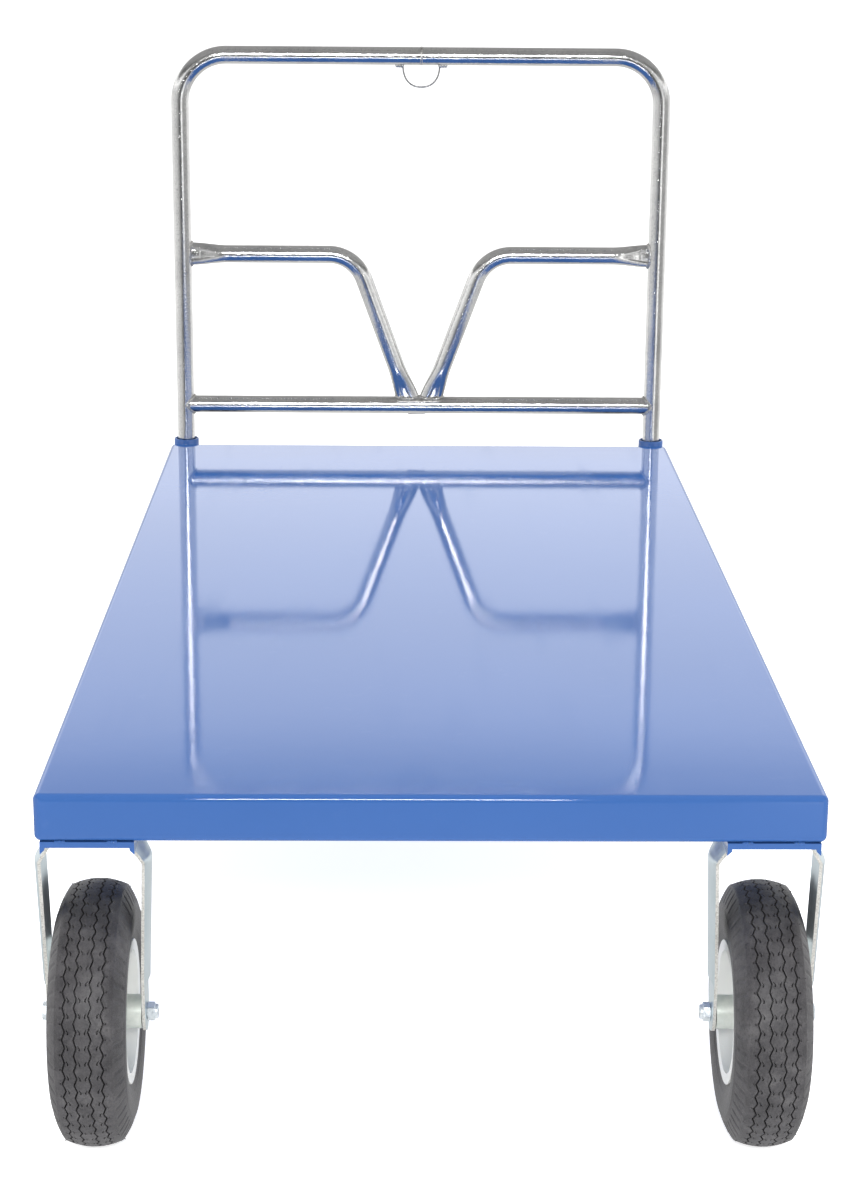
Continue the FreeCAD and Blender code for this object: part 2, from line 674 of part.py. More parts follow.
def hanging_loop():
    """Wire loop under the middle of the top bar, its ends welded to the tube."""
    under = TOP_BAR_Z - TUBE_R
    left = list(LOOP_EYE)
    right = [(-x, z) for x, z in reversed(left)]
    curve = Part.BSplineCurve()
    curve.interpolate([handle_point(x, under + z) for x, z in left + [(0.0, -LOOP_DROP)] + right])
    wire = swept(Part.Wire(curve.toShape()), WIRE_R)
    return one(wire.cut(level_bar(TUBE_R, 120.0, TOP_BAR_Z)))


def handle_welds():
    """Beads at the top bar's seam, the crossbar's ends, the braces' ends and the loop."""
    beads = [Part.makeTorus(TUBE_R, SEAM_R, handle_point(0, TOP_BAR_Z), X_AXIS)]
    half = V(0, BRACE_WELD_HALF, 0)
    for s in (-1, 1):
        at = handle_point(s * (LEG_X - TUBE_R + SEAM_R), LOW_BAR_Z)
        beads.append(Part.makeTorus(TUBE_R, TUBE_WELD_R, at, X_AXIS))
        at = handle_point(s * LOOP_WELD_X, TOP_BAR_Z - TUBE_R - 0.6)
        beads.append(Part.makeSphere(LOOP_WELD_R, at))
        for dz in (-CRIMP_HALF_H, CRIMP_HALF_H):
            at = handle_point(s * (LEG_X - TUBE_R + 0.4), MID_BAR_Z + dz)
            beads.append(cylinder(BRACE_WELD_R, at.sub(half), at.add(half)))
        at = brace_line(s)[2].add(V(s * FOOT_WELD_DX, 0, TUBE_R))
        beads.append(cylinder(BRACE_WELD_R, at.sub(half), at.add(half)))
    others = leg_bars() + [level_bar(TUBE_R, LEG_X, LOW_BAR_Z), level_bar(TUBE_R, 200.0, TOP_BAR_Z)]
    others += [parts[name] for name in ("v_brace_left", "v_brace_right", "hanging_loop")]
    trimmed = []
    for bead in beads:
        for other in others:
            bead = bead.cut(other)
        trimmed.append(max(bead.Solids, key=lambda s: s.Volume))
    return trimmed


# ---- assembly ----
parts["deck_pan"] = deck_pan()
front_holes = both_sides(front_bolt_places(), BOLT_HOLE_R)
rear_holes = both_sides(rear_bolt_places(), BOLT_HOLE_R)
parts["front_bolster"] = bolster(FRONT_Y + LIP + 1.0, FRONT_Y + 95.0, front_holes)
parts["rear_bolster"] = bolster(KINGPIN_Y - BOLSTER_LEN / 2, KINGPIN_Y + BOLSTER_LEN / 2, rear_holes)
for index, share in enumerate(HAT_PLACES):
    parts["deck_stiffener_%d" % (index + 1)] = stiffener(FRONT_Y + share * DECK_L)
for word, side in SIDES:
    parts["caster_riser_" + word] = caster_riser(side)
    parts["handle_socket_" + word] = handle_socket(side)
parts["socket_stops"] = Part.makeCompound([socket_stop(side) for word, side in SIDES])
parts["deck_welds"] = Part.makeCompound(socket_welds() + riser_welds())

screws = []
nuts = []
for x, y, radius in front_holes:
    screws.append(hex_screw(x, y, RISER_BOTTOM - FORK_T, FORK_T + RISER_T + BOLSTER_T + NUT_H + 2))
    nuts.append(hex_nut(x, y, DECK_BOTTOM + BOLSTER_T))
for x, y, radius in rear_holes:
    screws.append(hex_screw(x, y, PLATE_BOTTOM, PLATE_T + BOLSTER_T + NUT_H + 2))
    nuts.append(hex_nut(x, y, DECK_BOTTOM + BOLSTER_T))
parts["caster_bolts"] = Part.makeCompound(screws)
parts["caster_nuts"] = Part.makeCompound(nuts)

for word, side in SIDES:
    x = side * FRONT_X
    holes = [(side * hx, hy, BOLT_HOLE_R) for hx, hy in front_bolt_places()]
    parts["front_%s_fork" % word] = fork(x, FRONT_AXLE_Y, FRONT_AXLE_Y, RISER_BOTTOM, 30.0, holes)
axle_bolts = [axle_bolt(side * FRONT_X, FRONT_AXLE_Y, side) for word, side in SIDES]
axle_nuts = [axle_nut(side * FRONT_X, FRONT_AXLE_Y, side) for word, side in SIDES]
axle_sleeves = [axle_sleeve(side * FRONT_X, FRONT_AXLE_Y) for word, side in SIDES]
parts["front_axle_bolts"] = Part.makeCompound(axle_bolts)
parts["front_axle_nuts"] = Part.makeCompound(axle_nuts)
parts["front_axle_sleeves"] = Part.makeCompound(axle_sleeves)

for word, side in SIDES:
    x = side * REAR_X
    name = "rear_%s_" % word
    parts[name + "top_plate"] = top_plate(side)
    hole = [(x, KINGPIN_Y, KINGPIN_R + RUN_CLEARANCE)]
    parts[name + "fork"] = fork(x, REAR_AXLE_Y, KINGPIN_Y, CROWN_TOP, 34.0, hole)
    parts[name + "bearing_balls"] = Part.makeCompound(bearing_balls(side))
    parts[name + "axle_bolt"] = axle_bolt(x, REAR_AXLE_Y, side)
    parts[name + "axle_nut"] = axle_nut(x, REAR_AXLE_Y, side)
    parts[name + "axle_sleeve"] = axle_sleeve(x, REAR_AXLE_Y)
parts["kingpins"] = Part.makeCompound([kingpin(side) for word, side in SIDES])
parts["kingpin_nuts"] = Part.makeCompound([kingpin_nut(side) for word, side in SIDES])

for end_word, wheel_x, wheel_y in (("front", FRONT_X, FRONT_AXLE_Y), ("rear", REAR_X, REAR_AXLE_Y)):
    for word, side in SIDES:
        centre = V(side * wheel_x, wheel_y, AXLE_Z)
        name = "%s_%s_" % (end_word, word)
        parts[name + "tyre"] = tyre(centre)
        parts[name + "rim"] = rim(centre, side)
        parts[name + "hub"] = hub(centre)
        parts[name + "bearings"] = Part.makeCompound(bearings(centre))
        parts[name + "valve"] = valve(centre, side)

for word, side in SIDES:
    parts["handle_hoop_" + word] = hoop_half(side)
    parts["v_brace_" + word] = v_brace(side)
parts["lower_crossbar"] = lower_crossbar()
parts["hanging_loop"] = hanging_loop()
parts["handle_welds"] = Part.makeCompound(handle_welds())

os.makedirs("parts", exist_ok=True)
for name, shape in parts.items():
    shape.exportStep("parts/%s.step" % name)
    print(name, len(shape.Solids), round(shape.Volume / 1000.0, 2), shape.isValid())
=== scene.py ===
import json
import math
import random

import bmesh
import bpy
from mathutils import Matrix, Vector, noise

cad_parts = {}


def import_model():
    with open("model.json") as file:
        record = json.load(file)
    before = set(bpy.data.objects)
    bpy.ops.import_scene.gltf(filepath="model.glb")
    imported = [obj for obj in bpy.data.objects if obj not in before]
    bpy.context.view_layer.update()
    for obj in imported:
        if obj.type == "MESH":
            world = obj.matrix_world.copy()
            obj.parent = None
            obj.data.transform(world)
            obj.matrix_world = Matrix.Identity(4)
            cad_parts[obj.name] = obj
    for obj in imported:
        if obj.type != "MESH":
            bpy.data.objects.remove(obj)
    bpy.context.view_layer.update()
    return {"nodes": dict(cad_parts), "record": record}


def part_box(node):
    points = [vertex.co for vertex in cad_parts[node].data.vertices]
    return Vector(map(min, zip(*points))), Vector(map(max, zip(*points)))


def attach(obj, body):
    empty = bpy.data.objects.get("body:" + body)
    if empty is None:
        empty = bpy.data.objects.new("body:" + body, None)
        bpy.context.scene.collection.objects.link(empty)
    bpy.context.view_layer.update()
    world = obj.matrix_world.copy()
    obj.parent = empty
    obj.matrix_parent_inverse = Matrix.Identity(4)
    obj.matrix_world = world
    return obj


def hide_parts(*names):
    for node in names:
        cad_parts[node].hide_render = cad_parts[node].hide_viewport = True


# Looks of a platform cart: glossy blue folded deck, plated tube handle, zinc-plated
# forks and ribbed pneumatic tyres. Metres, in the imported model's own frame.

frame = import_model()

X = Vector((1, 0, 0))
Y = Vector((0, 1, 0))
Z = Vector((0, 0, 1))
SIDES = (("left", -1.0), ("right", 1.0))
WHEELS = ("front_left", "front_right", "rear_left", "rear_right")


def middle(node):
    low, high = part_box(node)
    return (low + high) / 2


# ---- places and sizes read from the frame ----
DECK_LOW, DECK_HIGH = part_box("deck_pan")
DECK_TOP = DECK_HIGH.z
DECK_BOTTOM = DECK_LOW.z
TYRE_LOW, TYRE_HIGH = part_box("front_left_tyre")
TYRE_R = (TYRE_HIGH.z - TYRE_LOW.z) / 2
HOOP_LOW, HOOP_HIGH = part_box("handle_hoop_right")
BAR_LOW, BAR_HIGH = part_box("lower_crossbar")
TUBE_R = (BAR_HIGH.z - BAR_LOW.z) / 2
HANDLE_Y = (HOOP_LOW.y + HOOP_HIGH.y) / 2
LEG_X = HOOP_HIGH.x - TUBE_R
TOP_BAR_Z = HOOP_HIGH.z - TUBE_R
LOW_BAR_Z = middle("lower_crossbar").z

# ---- shape details, in metres ----
# handle: bend radii, the braces' height over the deck, corner and lean, their flattened ends
HOOP_BEND = 0.070
BRACE_BEND = 0.057
MID_BAR_UP = 0.291
BRACE_CORNER_X = 0.099
BRACE_LEAN = math.radians(20.2)
CRIMP_LEN = 0.054
CRIMP_HALF_H = 0.0172
CRIMP_HALF_T = 0.0083
# forks: half widths of the tops; outer faces at lug and leg from the wheel's middle; sheet; lug's radius
RIGID_HALF = 0.030
SWIVEL_HALF = 0.034
LUG_OUT = 0.0492
LEG_OUT = 0.0528
FORK_T = 0.004
LUG_R = 0.019
# axle bolt: across flats, head, nut's hexagon, nut with its collar, shank radius
HEX_AF = 0.017
HEAD_H = 0.0064
NUT_H = 0.008
NUT_ALL = 0.0108
AXLE_R = 0.005


# ---- material helpers ----
def feed(tree, socket, value):
    """Links another node's output to the socket, or sets the socket's own value."""
    if isinstance(value, bpy.types.NodeSocket):
        tree.links.new(value, socket)
    else:
        socket.default_value = value


def math_node(tree, operation, a, b):
    made = tree.nodes.new("ShaderNodeMath")
    made.operation = operation
    feed(tree, made.inputs[0], a)
    feed(tree, made.inputs[1], b)
    return made.outputs[0]


class Shader:
    """A Principled material built node by node on the object's own coordinates."""

    def __init__(self, name, metallic=0.0, **sockets):
        self.mat = bpy.data.materials.new(name)
        self.mat.use_nodes = True
        self.tree = self.mat.node_tree
        self.bsdf = self.tree.nodes["Principled BSDF"]
        self.bsdf.inputs["Metallic"].default_value = metallic
        for key, value in sockets.items():
            self.bsdf.inputs[key.replace("_", " ").title().replace("Ior", "IOR")].default_value = value
        self.coords = self.tree.nodes.new("ShaderNodeTexCoord").outputs["Object"]

    def node(self, kind, **inputs):
        made = self.tree.nodes.new(kind)
        for key, value in inputs.items():
            self.feed(made.inputs[key.replace("_", " ")], value)
        return made

    def feed(self, socket, value):
        feed(self.tree, socket, value)

    def stretched(self, scale):
        return self.node("ShaderNodeMapping", Vector=self.coords, Scale=scale).outputs["Vector"]

    def noise(self, scale, detail=2.0, stretch=None, roughness=0.5):
        where = self.stretched(stretch) if stretch else self.coords
        made = self.node("ShaderNodeTexNoise", Vector=where, Scale=scale, Detail=detail, Roughness=roughness)
        return made.outputs["Fac"]

    def cells(self, scale):
        return self.node("ShaderNodeTexVoronoi", Vector=self.coords, Scale=scale).outputs["Distance"]

    def ramp(self, value, *stops):
        made = self.node("ShaderNodeValToRGB", Fac=value)
        ramp = made.color_ramp
        while len(ramp.elements) < len(stops):
            ramp.elements.new(0.5)
        for element, (place, color) in zip(ramp.elements, stops):
            element.position = place
            element.color = (*color, 1)
        return made.outputs["Color"]

    def span(self, value, low, high, start=0.0, stop=1.0):
        """Maps value from start..stop to low..high, and holds it inside that range."""
        made = self.node("ShaderNodeMapRange", Value=value, From_Min=start, From_Max=stop,
                         To_Min=low, To_Max=high)
        return made.outputs["Result"]

    def mix(self, factor, a, b):
        """Mixes two colours; sockets 6, 7 and 2 are the node's colour inputs and output."""
        made = self.tree.nodes.new("ShaderNodeMix")
        made.data_type = "RGBA"
        self.feed(made.inputs[0], factor)
        for socket, color in ((made.inputs[6], a), (made.inputs[7], b)):
            self.feed(socket, color if isinstance(color, bpy.types.NodeSocket) else (*color, 1))
        return made.outputs[2]

    def math(self, operation, a, b):
        return math_node(self.tree, operation, a, b)

    def bumps(self, *layers):
        """Stacks (height, distance in metres) layers on the shader's normal."""
        normal = None
        for height, distance in layers:
            made = self.node("ShaderNodeBump", Height=height, Distance=distance, Strength=1.0)
            if normal:
                self.tree.links.new(normal, made.inputs["Normal"])
            normal = made.outputs["Normal"]
        self.tree.links.new(normal, self.bsdf.inputs["Normal"])

    def color(self, value):
        self.feed(self.bsdf.inputs["Base Color"], value)

    def roughness(self, value):
        self.feed(self.bsdf.inputs["Roughness"], value)


def blue_paint():
    """Glossy blue powder coat: faint orange peel, slow waves, dust and fine scuffs."""
    s = Shader("blue_powder_coat")
    broad = s.noise(2.2, 3.0)
    speck = s.noise(420.0, 2.0)
    tone = s.mix(s.span(broad, 0.0, 1.0, 0.3, 0.7), (0.028, 0.088, 0.270), (0.033, 0.097, 0.290))
    dust = s.span(s.noise(38.0, 4.0, roughness=0.7), 0.0, 0.03, 0.62, 0.82)
    s.color(s.mix(dust, tone, (0.30, 0.38, 0.52)))
    scuffs = s.span(s.noise(26.0, 3.0, stretch=(1.0, 0.12, 1.0)), 0.0, 1.0, 0.55, 0.75)
    s.roughness(s.span(s.math("ADD", scuffs, speck), 0.045, 0.10, 0.3, 1.6))
    s.bumps((s.noise(3.0, 1.0), 0.00005), (s.noise(26.0, 2.0), 0.00002), (s.noise(330.0, 2.0), 0.000018))
    return s.mat


def plated_tube():
    """Bright plating over drawn tube: fine pits, faint drawing lines, dull patches."""
    s = Shader("plated_tube", metallic=1.0)
    patches = s.noise(14.0, 4.0, roughness=0.65)
    bright = s.ramp(patches, (0.30, (0.60, 0.60, 0.60)), (0.52, (0.70, 0.70, 0.69)),
                    (0.75, (0.78, 0.78, 0.77)))
    specks = s.span(s.noise(520.0, 3.0, roughness=0.7), 0.0, 0.6, 0.50, 0.72)
    s.color(s.mix(specks, bright, (0.30, 0.30, 0.31)))
    pits = s.span(s.cells(620.0), 0.0, 1.0, 0.02, 0.30)
    grain = s.noise(260.0, 3.0, roughness=0.6)
    s.roughness(s.span(s.math("ADD", patches, grain), 0.07, 0.22, 0.6, 1.4))
    fine = s.noise(480.0, 3.0, roughness=0.65)
    s.bumps((s.noise(70.0, 2.0), 0.00006), (grain, 0.00012), (fine, 0.00012), (pits, 0.00008))
    return s.mat


def weld_metal():
    """Plated weld: blotched from burnt brown-grey to bright."""
    s = Shader("plated_weld", metallic=1.0)
    blotch = s.noise(180.0, 4.0, roughness=0.7)
    s.color(s.ramp(blotch, (0.35, (0.26, 0.25, 0.24)), (0.52, (0.62, 0.61, 0.59)),
                   (0.72, (0.86, 0.85, 0.83))))
    s.roughness(s.span(blotch, 0.22, 0.50))
    s.bumps((s.noise(420.0, 4.0, roughness=0.7), 0.00030), (s.noise(90.0, 2.0), 0.00035))
    return s.mat


def dark_wire():
    """Drawn wire under dull plating, darker than the tubes."""
    s = Shader("dark_wire", metallic=1.0)
    draw = s.noise(90.0, 4.0, roughness=0.6)
    s.color(s.mix(draw, (0.16, 0.16, 0.17), (0.36, 0.36, 0.36)))
    s.roughness(s.span(draw, 0.25, 0.45))
    s.bumps((s.noise(500.0, 2.0), 0.00004),)
    return s.mat


def zinc_plate():
    """Pale blue-white zinc plating on pressed sheet, with spangle and rolling lines."""
    s = Shader("zinc_plate", metallic=1.0)
    cloud = s.noise(22.0, 5.0, roughness=0.6)
    s.color(s.ramp(cloud, (0.30, (0.56, 0.64, 0.67)), (0.55, (0.64, 0.72, 0.75)), (0.78, (0.72, 0.78, 0.81))))
    lines = s.noise(60.0, 3.0, stretch=(6.0, 6.0, 0.3))
    s.roughness(s.span(s.math("ADD", cloud, lines), 0.26, 0.46, 0.6, 1.4))
    s.bumps((s.noise(45.0, 2.0), 0.00012), (lines, 0.00005), (s.noise(700.0, 2.0), 0.00002))
    return s.mat


def sheared_edge():
    """The sheet's cut edge: warm, torn and dull under thin plating."""
    s = Shader("sheared_edge", metallic=0.75)
    tear = s.noise(520.0, 5.0, roughness=0.75)
    s.color(s.ramp(tear, (0.34, (0.50, 0.49, 0.46)), (0.50, (0.74, 0.73, 0.69)), (0.68, (0.90, 0.89, 0.85))))
    s.roughness(s.span(tear, 0.38, 0.66))
    s.bumps((tear, 0.00030), (s.noise(110.0, 2.0), 0.00018))
    return s.mat


def bright_zinc():
    """Plated fasteners: brighter, with forging texture and small dark marks."""
    s = Shader("bright_zinc", metallic=0.55)
    marks = s.noise(230.0, 4.0, roughness=0.65)
    s.color(s.ramp(marks, (0.30, (0.40, 0.44, 0.48)), (0.48, (0.68, 0.73, 0.76)), (0.70, (0.80, 0.84, 0.86))))
    s.roughness(s.span(marks, 0.28, 0.46))
    s.bumps((s.noise(600.0, 3.0), 0.00008), (s.noise(150.0, 2.0), 0.00010))
    return s.mat


def tyre_rubber():
    """Charcoal rubber: dusty high spots, mould texture, slight bloom."""
    s = Shader("tyre_rubber", specular_ior_level=0.30)
    dust = s.noise(42.0, 5.0, roughness=0.65)
    fine = s.noise(900.0, 3.0, roughness=0.6)
    tone = s.ramp(dust, (0.30, (0.026, 0.025, 0.028)), (0.52, (0.050, 0.048, 0.052)),
                  (0.78, (0.096, 0.093, 0.096)))
    rubbed = s.span(s.noise(11.0, 6.0, roughness=0.7), 0.0, 0.30, 0.56, 0.74)
    worn = s.mix(rubbed, tone, (0.130, 0.126, 0.128))
    mottle = s.span(s.noise(420.0, 3.0, roughness=0.7), 0.0, 0.75, 0.50, 0.70)
    worn = s.mix(mottle, worn, (0.018, 0.018, 0.019))
    s.color(s.mix(s.span(fine, 0.0, 0.45, 0.48, 0.8), worn, (0.14, 0.135, 0.13)))
    s.roughness(s.span(dust, 0.34, 0.52))
    s.bumps((s.noise(120.0, 4.0, roughness=0.65), 0.00060), (fine, 0.00022))
    return s.mat


def rim_paint():
    """Pale cream-grey enamel with faint stains."""
    s = Shader("rim_paint", coat_weight=0.4, coat_roughness=0.2)
    cloud = s.noise(30.0, 4.0)
    stain = s.span(s.noise(75.0, 5.0, roughness=0.7), 0.0, 0.5, 0.60, 0.85)
    s.color(s.mix(stain, s.mix(cloud, (0.74, 0.75, 0.72), (0.80, 0.80, 0.77)), (0.50, 0.49, 0.45)))
    s.roughness(s.span(cloud, 0.32, 0.50))
    s.bumps((s.noise(330.0, 2.0), 0.00004), (s.noise(24.0, 1.0), 0.00015))
    return s.mat


def hub_paint():
    """Thin greenish-grey paint over the hub's steel tube."""
    s = Shader("hub_paint", metallic=0.25)
    cloud = s.noise(60.0, 4.0, roughness=0.6)
    s.color(s.ramp(cloud, (0.30, (0.50, 0.54, 0.50)), (0.60, (0.66, 0.69, 0.64)), (0.80, (0.74, 0.75, 0.70))))
    s.roughness(s.span(cloud, 0.34, 0.56))
    s.bumps((s.noise(240.0, 3.0), 0.00012), (s.noise(30.0, 1.0), 0.00010))
    return s.mat


def ground_steel():
    """Turned bearing steel under a film of oil."""
    s = Shader("ground_steel", metallic=1.0)
    rings = s.noise(40.0, 3.0, stretch=(8.0, 1.0, 1.0))
    oil = s.noise(120.0, 3.0)
    s.color(s.mix(oil, (0.46, 0.45, 0.44), (0.66, 0.66, 0.66)))
    s.roughness(s.span(rings, 0.18, 0.36))
    s.bumps((rings, 0.00004), (oil, 0.00003))
    return s.mat


def black_rubber():
    """The valve's black rubber, with grey bloom."""
    s = Shader("valve_rubber")
    bloom = s.noise(300.0, 4.0)
    s.color(s.mix(bloom, (0.012, 0.012, 0.012), (0.045, 0.044, 0.042)))
    s.roughness(s.span(bloom, 0.50, 0.72))
    s.bumps((s.noise(800.0, 3.0), 0.00006),)
    return s.mat


def nylon():
    """The lock nuts' off-white nylon ring."""
    s = Shader("nylon_ring", subsurface_weight=0.1)
    cloud = s.noise(400.0, 3.0)
    s.color(s.mix(cloud, (0.62, 0.64, 0.62), (0.78, 0.79, 0.76)))
    s.roughness(s.span(cloud, 0.42, 0.58))
    s.bumps((cloud, 0.00005),)
    return s.mat


MAT = {
    "blue_paint": blue_paint(),
    "plated_tube": plated_tube(),
    "weld": weld_metal(),
    "wire": dark_wire(),
    "zinc_plate": zinc_plate(),
    "edge": sheared_edge(),
    "fastener": bright_zinc(),
    "tyre_rubber": tyre_rubber(),
    "rim_cream": rim_paint(),
    "hub_paint": hub_paint(),
    "bearing_steel": ground_steel(),
    "valve_rubber": black_rubber(),
    "nylon": nylon(),
}


# ---- mesh helpers ----
class Mesh:
    """Collects vertices, faces and each face's material number."""

    def __init__(self):
        self.verts = []
        self.faces = []
        self.marks = []

    def grid(self, rows, wrap_rows=False, wrap_cols=False, mark=0, caps=False):
        """Quads over rows of equally many points; caps close the first and last row."""
        cols = len(rows[0])
        base = len(self.verts)
        self.verts += [tuple(v) for row in rows for v in row]
        faces = []
        for r in range(len(rows) if wrap_rows else len(rows) - 1):
            here, after = r * cols, (r + 1) % len(rows) * cols
            for c in range(cols if wrap_cols else cols - 1):
                c2 = (c + 1) % cols
                faces.append((here + c, here + c2, after + c2, after + c))
        if caps:
            last = (len(rows) - 1) * cols
            faces += [tuple(range(cols - 1, -1, -1)), tuple(range(last, last + cols))]
        self.faces += [tuple(base + i for i in face) for face in faces]
        self.marks += [mark] * len(faces)

    def object(self, name, body, slot, materials, replaces, sharp=35.0, merge=None):
        """Makes the piece; edges that turn by more than sharp degrees stay sharp."""
        mesh = bpy.data.meshes.new(name)
        mesh.from_pydata(self.verts, [], self.faces)
        for key in materials:
            mesh.materials.append(MAT[key])
        mesh.polygons.foreach_set("material_index", self.marks)
        tidy_mesh(mesh, merge)
        mesh.polygons.foreach_set("use_smooth", [True] * len(mesh.polygons))
        mesh.set_sharp_from_angle(angle=math.radians(sharp))
        piece = bpy.data.objects.new(name, mesh)
        bpy.context.scene.collection.objects.link(piece)
        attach(piece, body)
        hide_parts(*replaces)


def tidy_mesh(mesh, merge):
    """Turns the faces outward, after merging points closer than merge if it is given."""
    work = bmesh.new()
    work.from_mesh(mesh)
    if merge:
        bmesh.ops.remove_doubles(work, verts=work.verts, dist=merge)
        bmesh.ops.dissolve_degenerate(work, edges=work.edges, dist=merge / 2)
    bmesh.ops.recalc_face_normals(work, faces=work.faces)
    work.to_mesh(mesh)
    work.free()
    mesh.validate()


def smooth_step(x):
    """Eases from 0 to 1 as x goes from 0 to 1, and stays there outside."""
    x = min(1.0, max(0.0, x))
    return x * x * (3 - 2 * x)


def rounded_path(points, radius, step_len=0.02):
    """Points along straight runs joined by arcs."""
    step_angle = 3.0
    out = [points[0].copy()]
    for k in range(1, len(points) - 1):
        corner = points[k]
        back = (points[k - 1] - corner).normalized()
        ahead = (points[k + 1] - corner).normalized()
        half = back.angle(ahead) / 2
        a = corner + back * (radius / math.tan(half))
        hub = corner + (back + ahead).normalized() * (radius / math.sin(half))
        turn = math.pi - 2 * half
        axis = back.cross(ahead).normalized()
        straight(out, a, step_len)
        count = max(3, int(math.degrees(turn) / step_angle))
        for i in range(1, count + 1):
            out.append(hub + Matrix.Rotation(-turn * i / count, 3, axis) @ (a - hub))
    straight(out, points[-1], step_len)
    return out


def straight(out, target, step_len):
    """Adds evenly spaced points from the path's last point to target."""
    start = out[-1].copy()
    count = max(1, int((target - start).length / step_len))
    for i in range(1, count + 1):
        out.append(start.lerp(target, i / count))


def frames_along(path, side):
    """Each point with its tangent and two directions across it, the second near side."""
    rows = []
    for k, p in enumerate(path):
        tangent = (path[min(k + 1, len(path) - 1)] - path[max(k - 1, 0)]).normalized()
        across = (side - tangent * side.dot(tangent)).normalized()
        rows.append((p, tangent, tangent.cross(across).normalized(), across))
    return rows


def ring_points(centre, a, b, ra, rb, count):
    """Points round an ellipse with half sizes ra along a and rb along b."""
    out = []
    for i in range(count):
        t = 2 * math.pi * i / count
        out.append(centre + a * (ra * math.cos(t)) + b * (rb * math.sin(t)))
    return out


def lathe(mesh, centre, profile, count, mark=0, axis="x"):
    """Turns a closed profile of (radius, along) about X or Z through centre."""
    rows = []
    for i in range(count):
        t = 2 * math.pi * i / count
        c, s = math.cos(t), math.sin(t)
        if axis == "x":
            rows.append([Vector((centre.x + u, centre.y + r * c, centre.z + r * s)) for r, u in profile])
        else:
            rows.append([Vector((centre.x + r * c, centre.y + r * s, centre.z + u)) for r, u in profile])
    mesh.grid(rows, wrap_rows=True, wrap_cols=True, mark=mark)


def arc_points(cx, cy, radius, a0, a1, count):
    """Points on an arc in a plane, angles in degrees, both ends included."""
    out = []
    for i in range(count + 1):
        t = math.radians(a0 + (a1 - a0) * i / count)
        out.append((cx + radius * math.cos(t), cy + radius * math.sin(t)))
    return out


def weld_bead(mesh, path, up, width, height, seed, ripple=0.0016):
    """A stacked weld bead along a path; up is where its crown points, ripple one stack's length."""
    new_stack = 0.34
    rng = random.Random(seed)
    rows = []
    length = 0.0
    lift = 1.0
    for k, (p, tangent, side, crown) in enumerate(frames_along(path, up)):
        if k:
            length += (path[k] - path[k - 1]).length
        phase = (length / ripple) % 1.0
        if phase < new_stack:
            lift = 0.85 + 0.3 * rng.random()
        swell = (0.80 + 0.20 * math.sin(math.pi * phase)) * lift
        ends = min(1.0, 0.35 + 8.0 * min(k, len(path) - 1 - k) / max(1, len(path) - 1))
        rows.append(ring_points(p, side, crown, width * swell * ends, height * swell * ends, 12))
    mesh.grid(rows, wrap_cols=True, caps=True)


# ---- deck ----
def rounded_rectangle(inset, z, corner):
    """One level loop of the deck's outline, moved in by inset."""
    steps = 7
    least = 0.0004
    radius = max(corner - inset, least)
    x = (DECK_HIGH.x - DECK_LOW.x) / 2 - inset
    low_y, high_y = DECK_LOW.y + inset, DECK_HIGH.y - inset
    row = []
    for cx, cy, a0 in ((x - radius, high_y - radius, 0), (-x + radius, high_y - radius, 90),
                       (-x + radius, low_y + radius, 180), (x - radius, low_y + radius, 270)):
        for px, py in arc_points(cx, cy, radius, a0, a0 + 90, steps):
            row.append(Vector((px, py, z)))
    return row


def deck():
    """Folded sheet: flat top, rounded bends, sides and the return lip beneath."""
    sheet = 0.0025
    corner, top_r, low_r = 0.007, 0.006, 0.0065
    lip, lip_edge = 0.016, 0.0006
    hold = 0.0008  # spacing of the extra rows that keep the flats flat beside the bends
    profile = [(top_r + 2 * hold, DECK_TOP), (top_r + hold, DECK_TOP)]
    for a, b in arc_points(top_r, -top_r, top_r, 90, 180, 8):
        profile.append((a, DECK_TOP + b))
    profile += [(0.0, DECK_TOP - top_r - hold), (0.0, DECK_BOTTOM + low_r + hold)]
    for a, b in arc_points(low_r, low_r, low_r, 180, 270, 8):
        profile.append((a, DECK_BOTTOM + b))
    profile += [(lip - lip_edge, DECK_BOTTOM), (lip, DECK_BOTTOM + lip_edge), (lip, DECK_BOTTOM + sheet)]
    for a, b in arc_points(low_r, low_r, low_r - sheet, 270, 180, 6):
        profile.append((a, DECK_BOTTOM + b))
    for a, b in arc_points(top_r, -top_r, top_r - sheet, 180, 90, 6):
        profile.append((a, DECK_TOP + b))
    profile += [(top_r + hold, DECK_TOP - sheet), (top_r + 2 * hold, DECK_TOP - sheet)]
    m = Mesh()
    m.grid([rounded_rectangle(inset, z, corner) for inset, z in profile], wrap_cols=True, caps=True)
    m.object("deck", "cart", "blue_paint", ["blue_paint"], ["deck_pan"], sharp=40)


# ---- sockets ----
def sockets():
    """Round sockets with a softly broken edge at the mouth's outside and inside."""
    bore = 0.0160
    edge = 0.0009
    for word, sign in SIDES:
        low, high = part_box("handle_socket_" + word)
        centre = Vector(((low.x + high.x) / 2, (low.y + high.y) / 2, 0))
        outer = (high.x - low.x) / 2
        profile = [(bore, low.z + edge), (bore + edge, low.z), (outer - edge, low.z), (outer, low.z + edge),
                   (outer, high.z - edge), (outer - edge * 0.35, high.z - edge * 0.3), (outer - edge, high.z),
                   (bore + edge, high.z), (bore + edge * 0.3, high.z - edge * 0.3), (bore, high.z - edge)]
        m = Mesh()
        lathe(m, centre, profile, 72, axis="z")
        m.object("socket_" + word, "cart", "blue_paint", ["blue_paint"], ["handle_socket_" + word])


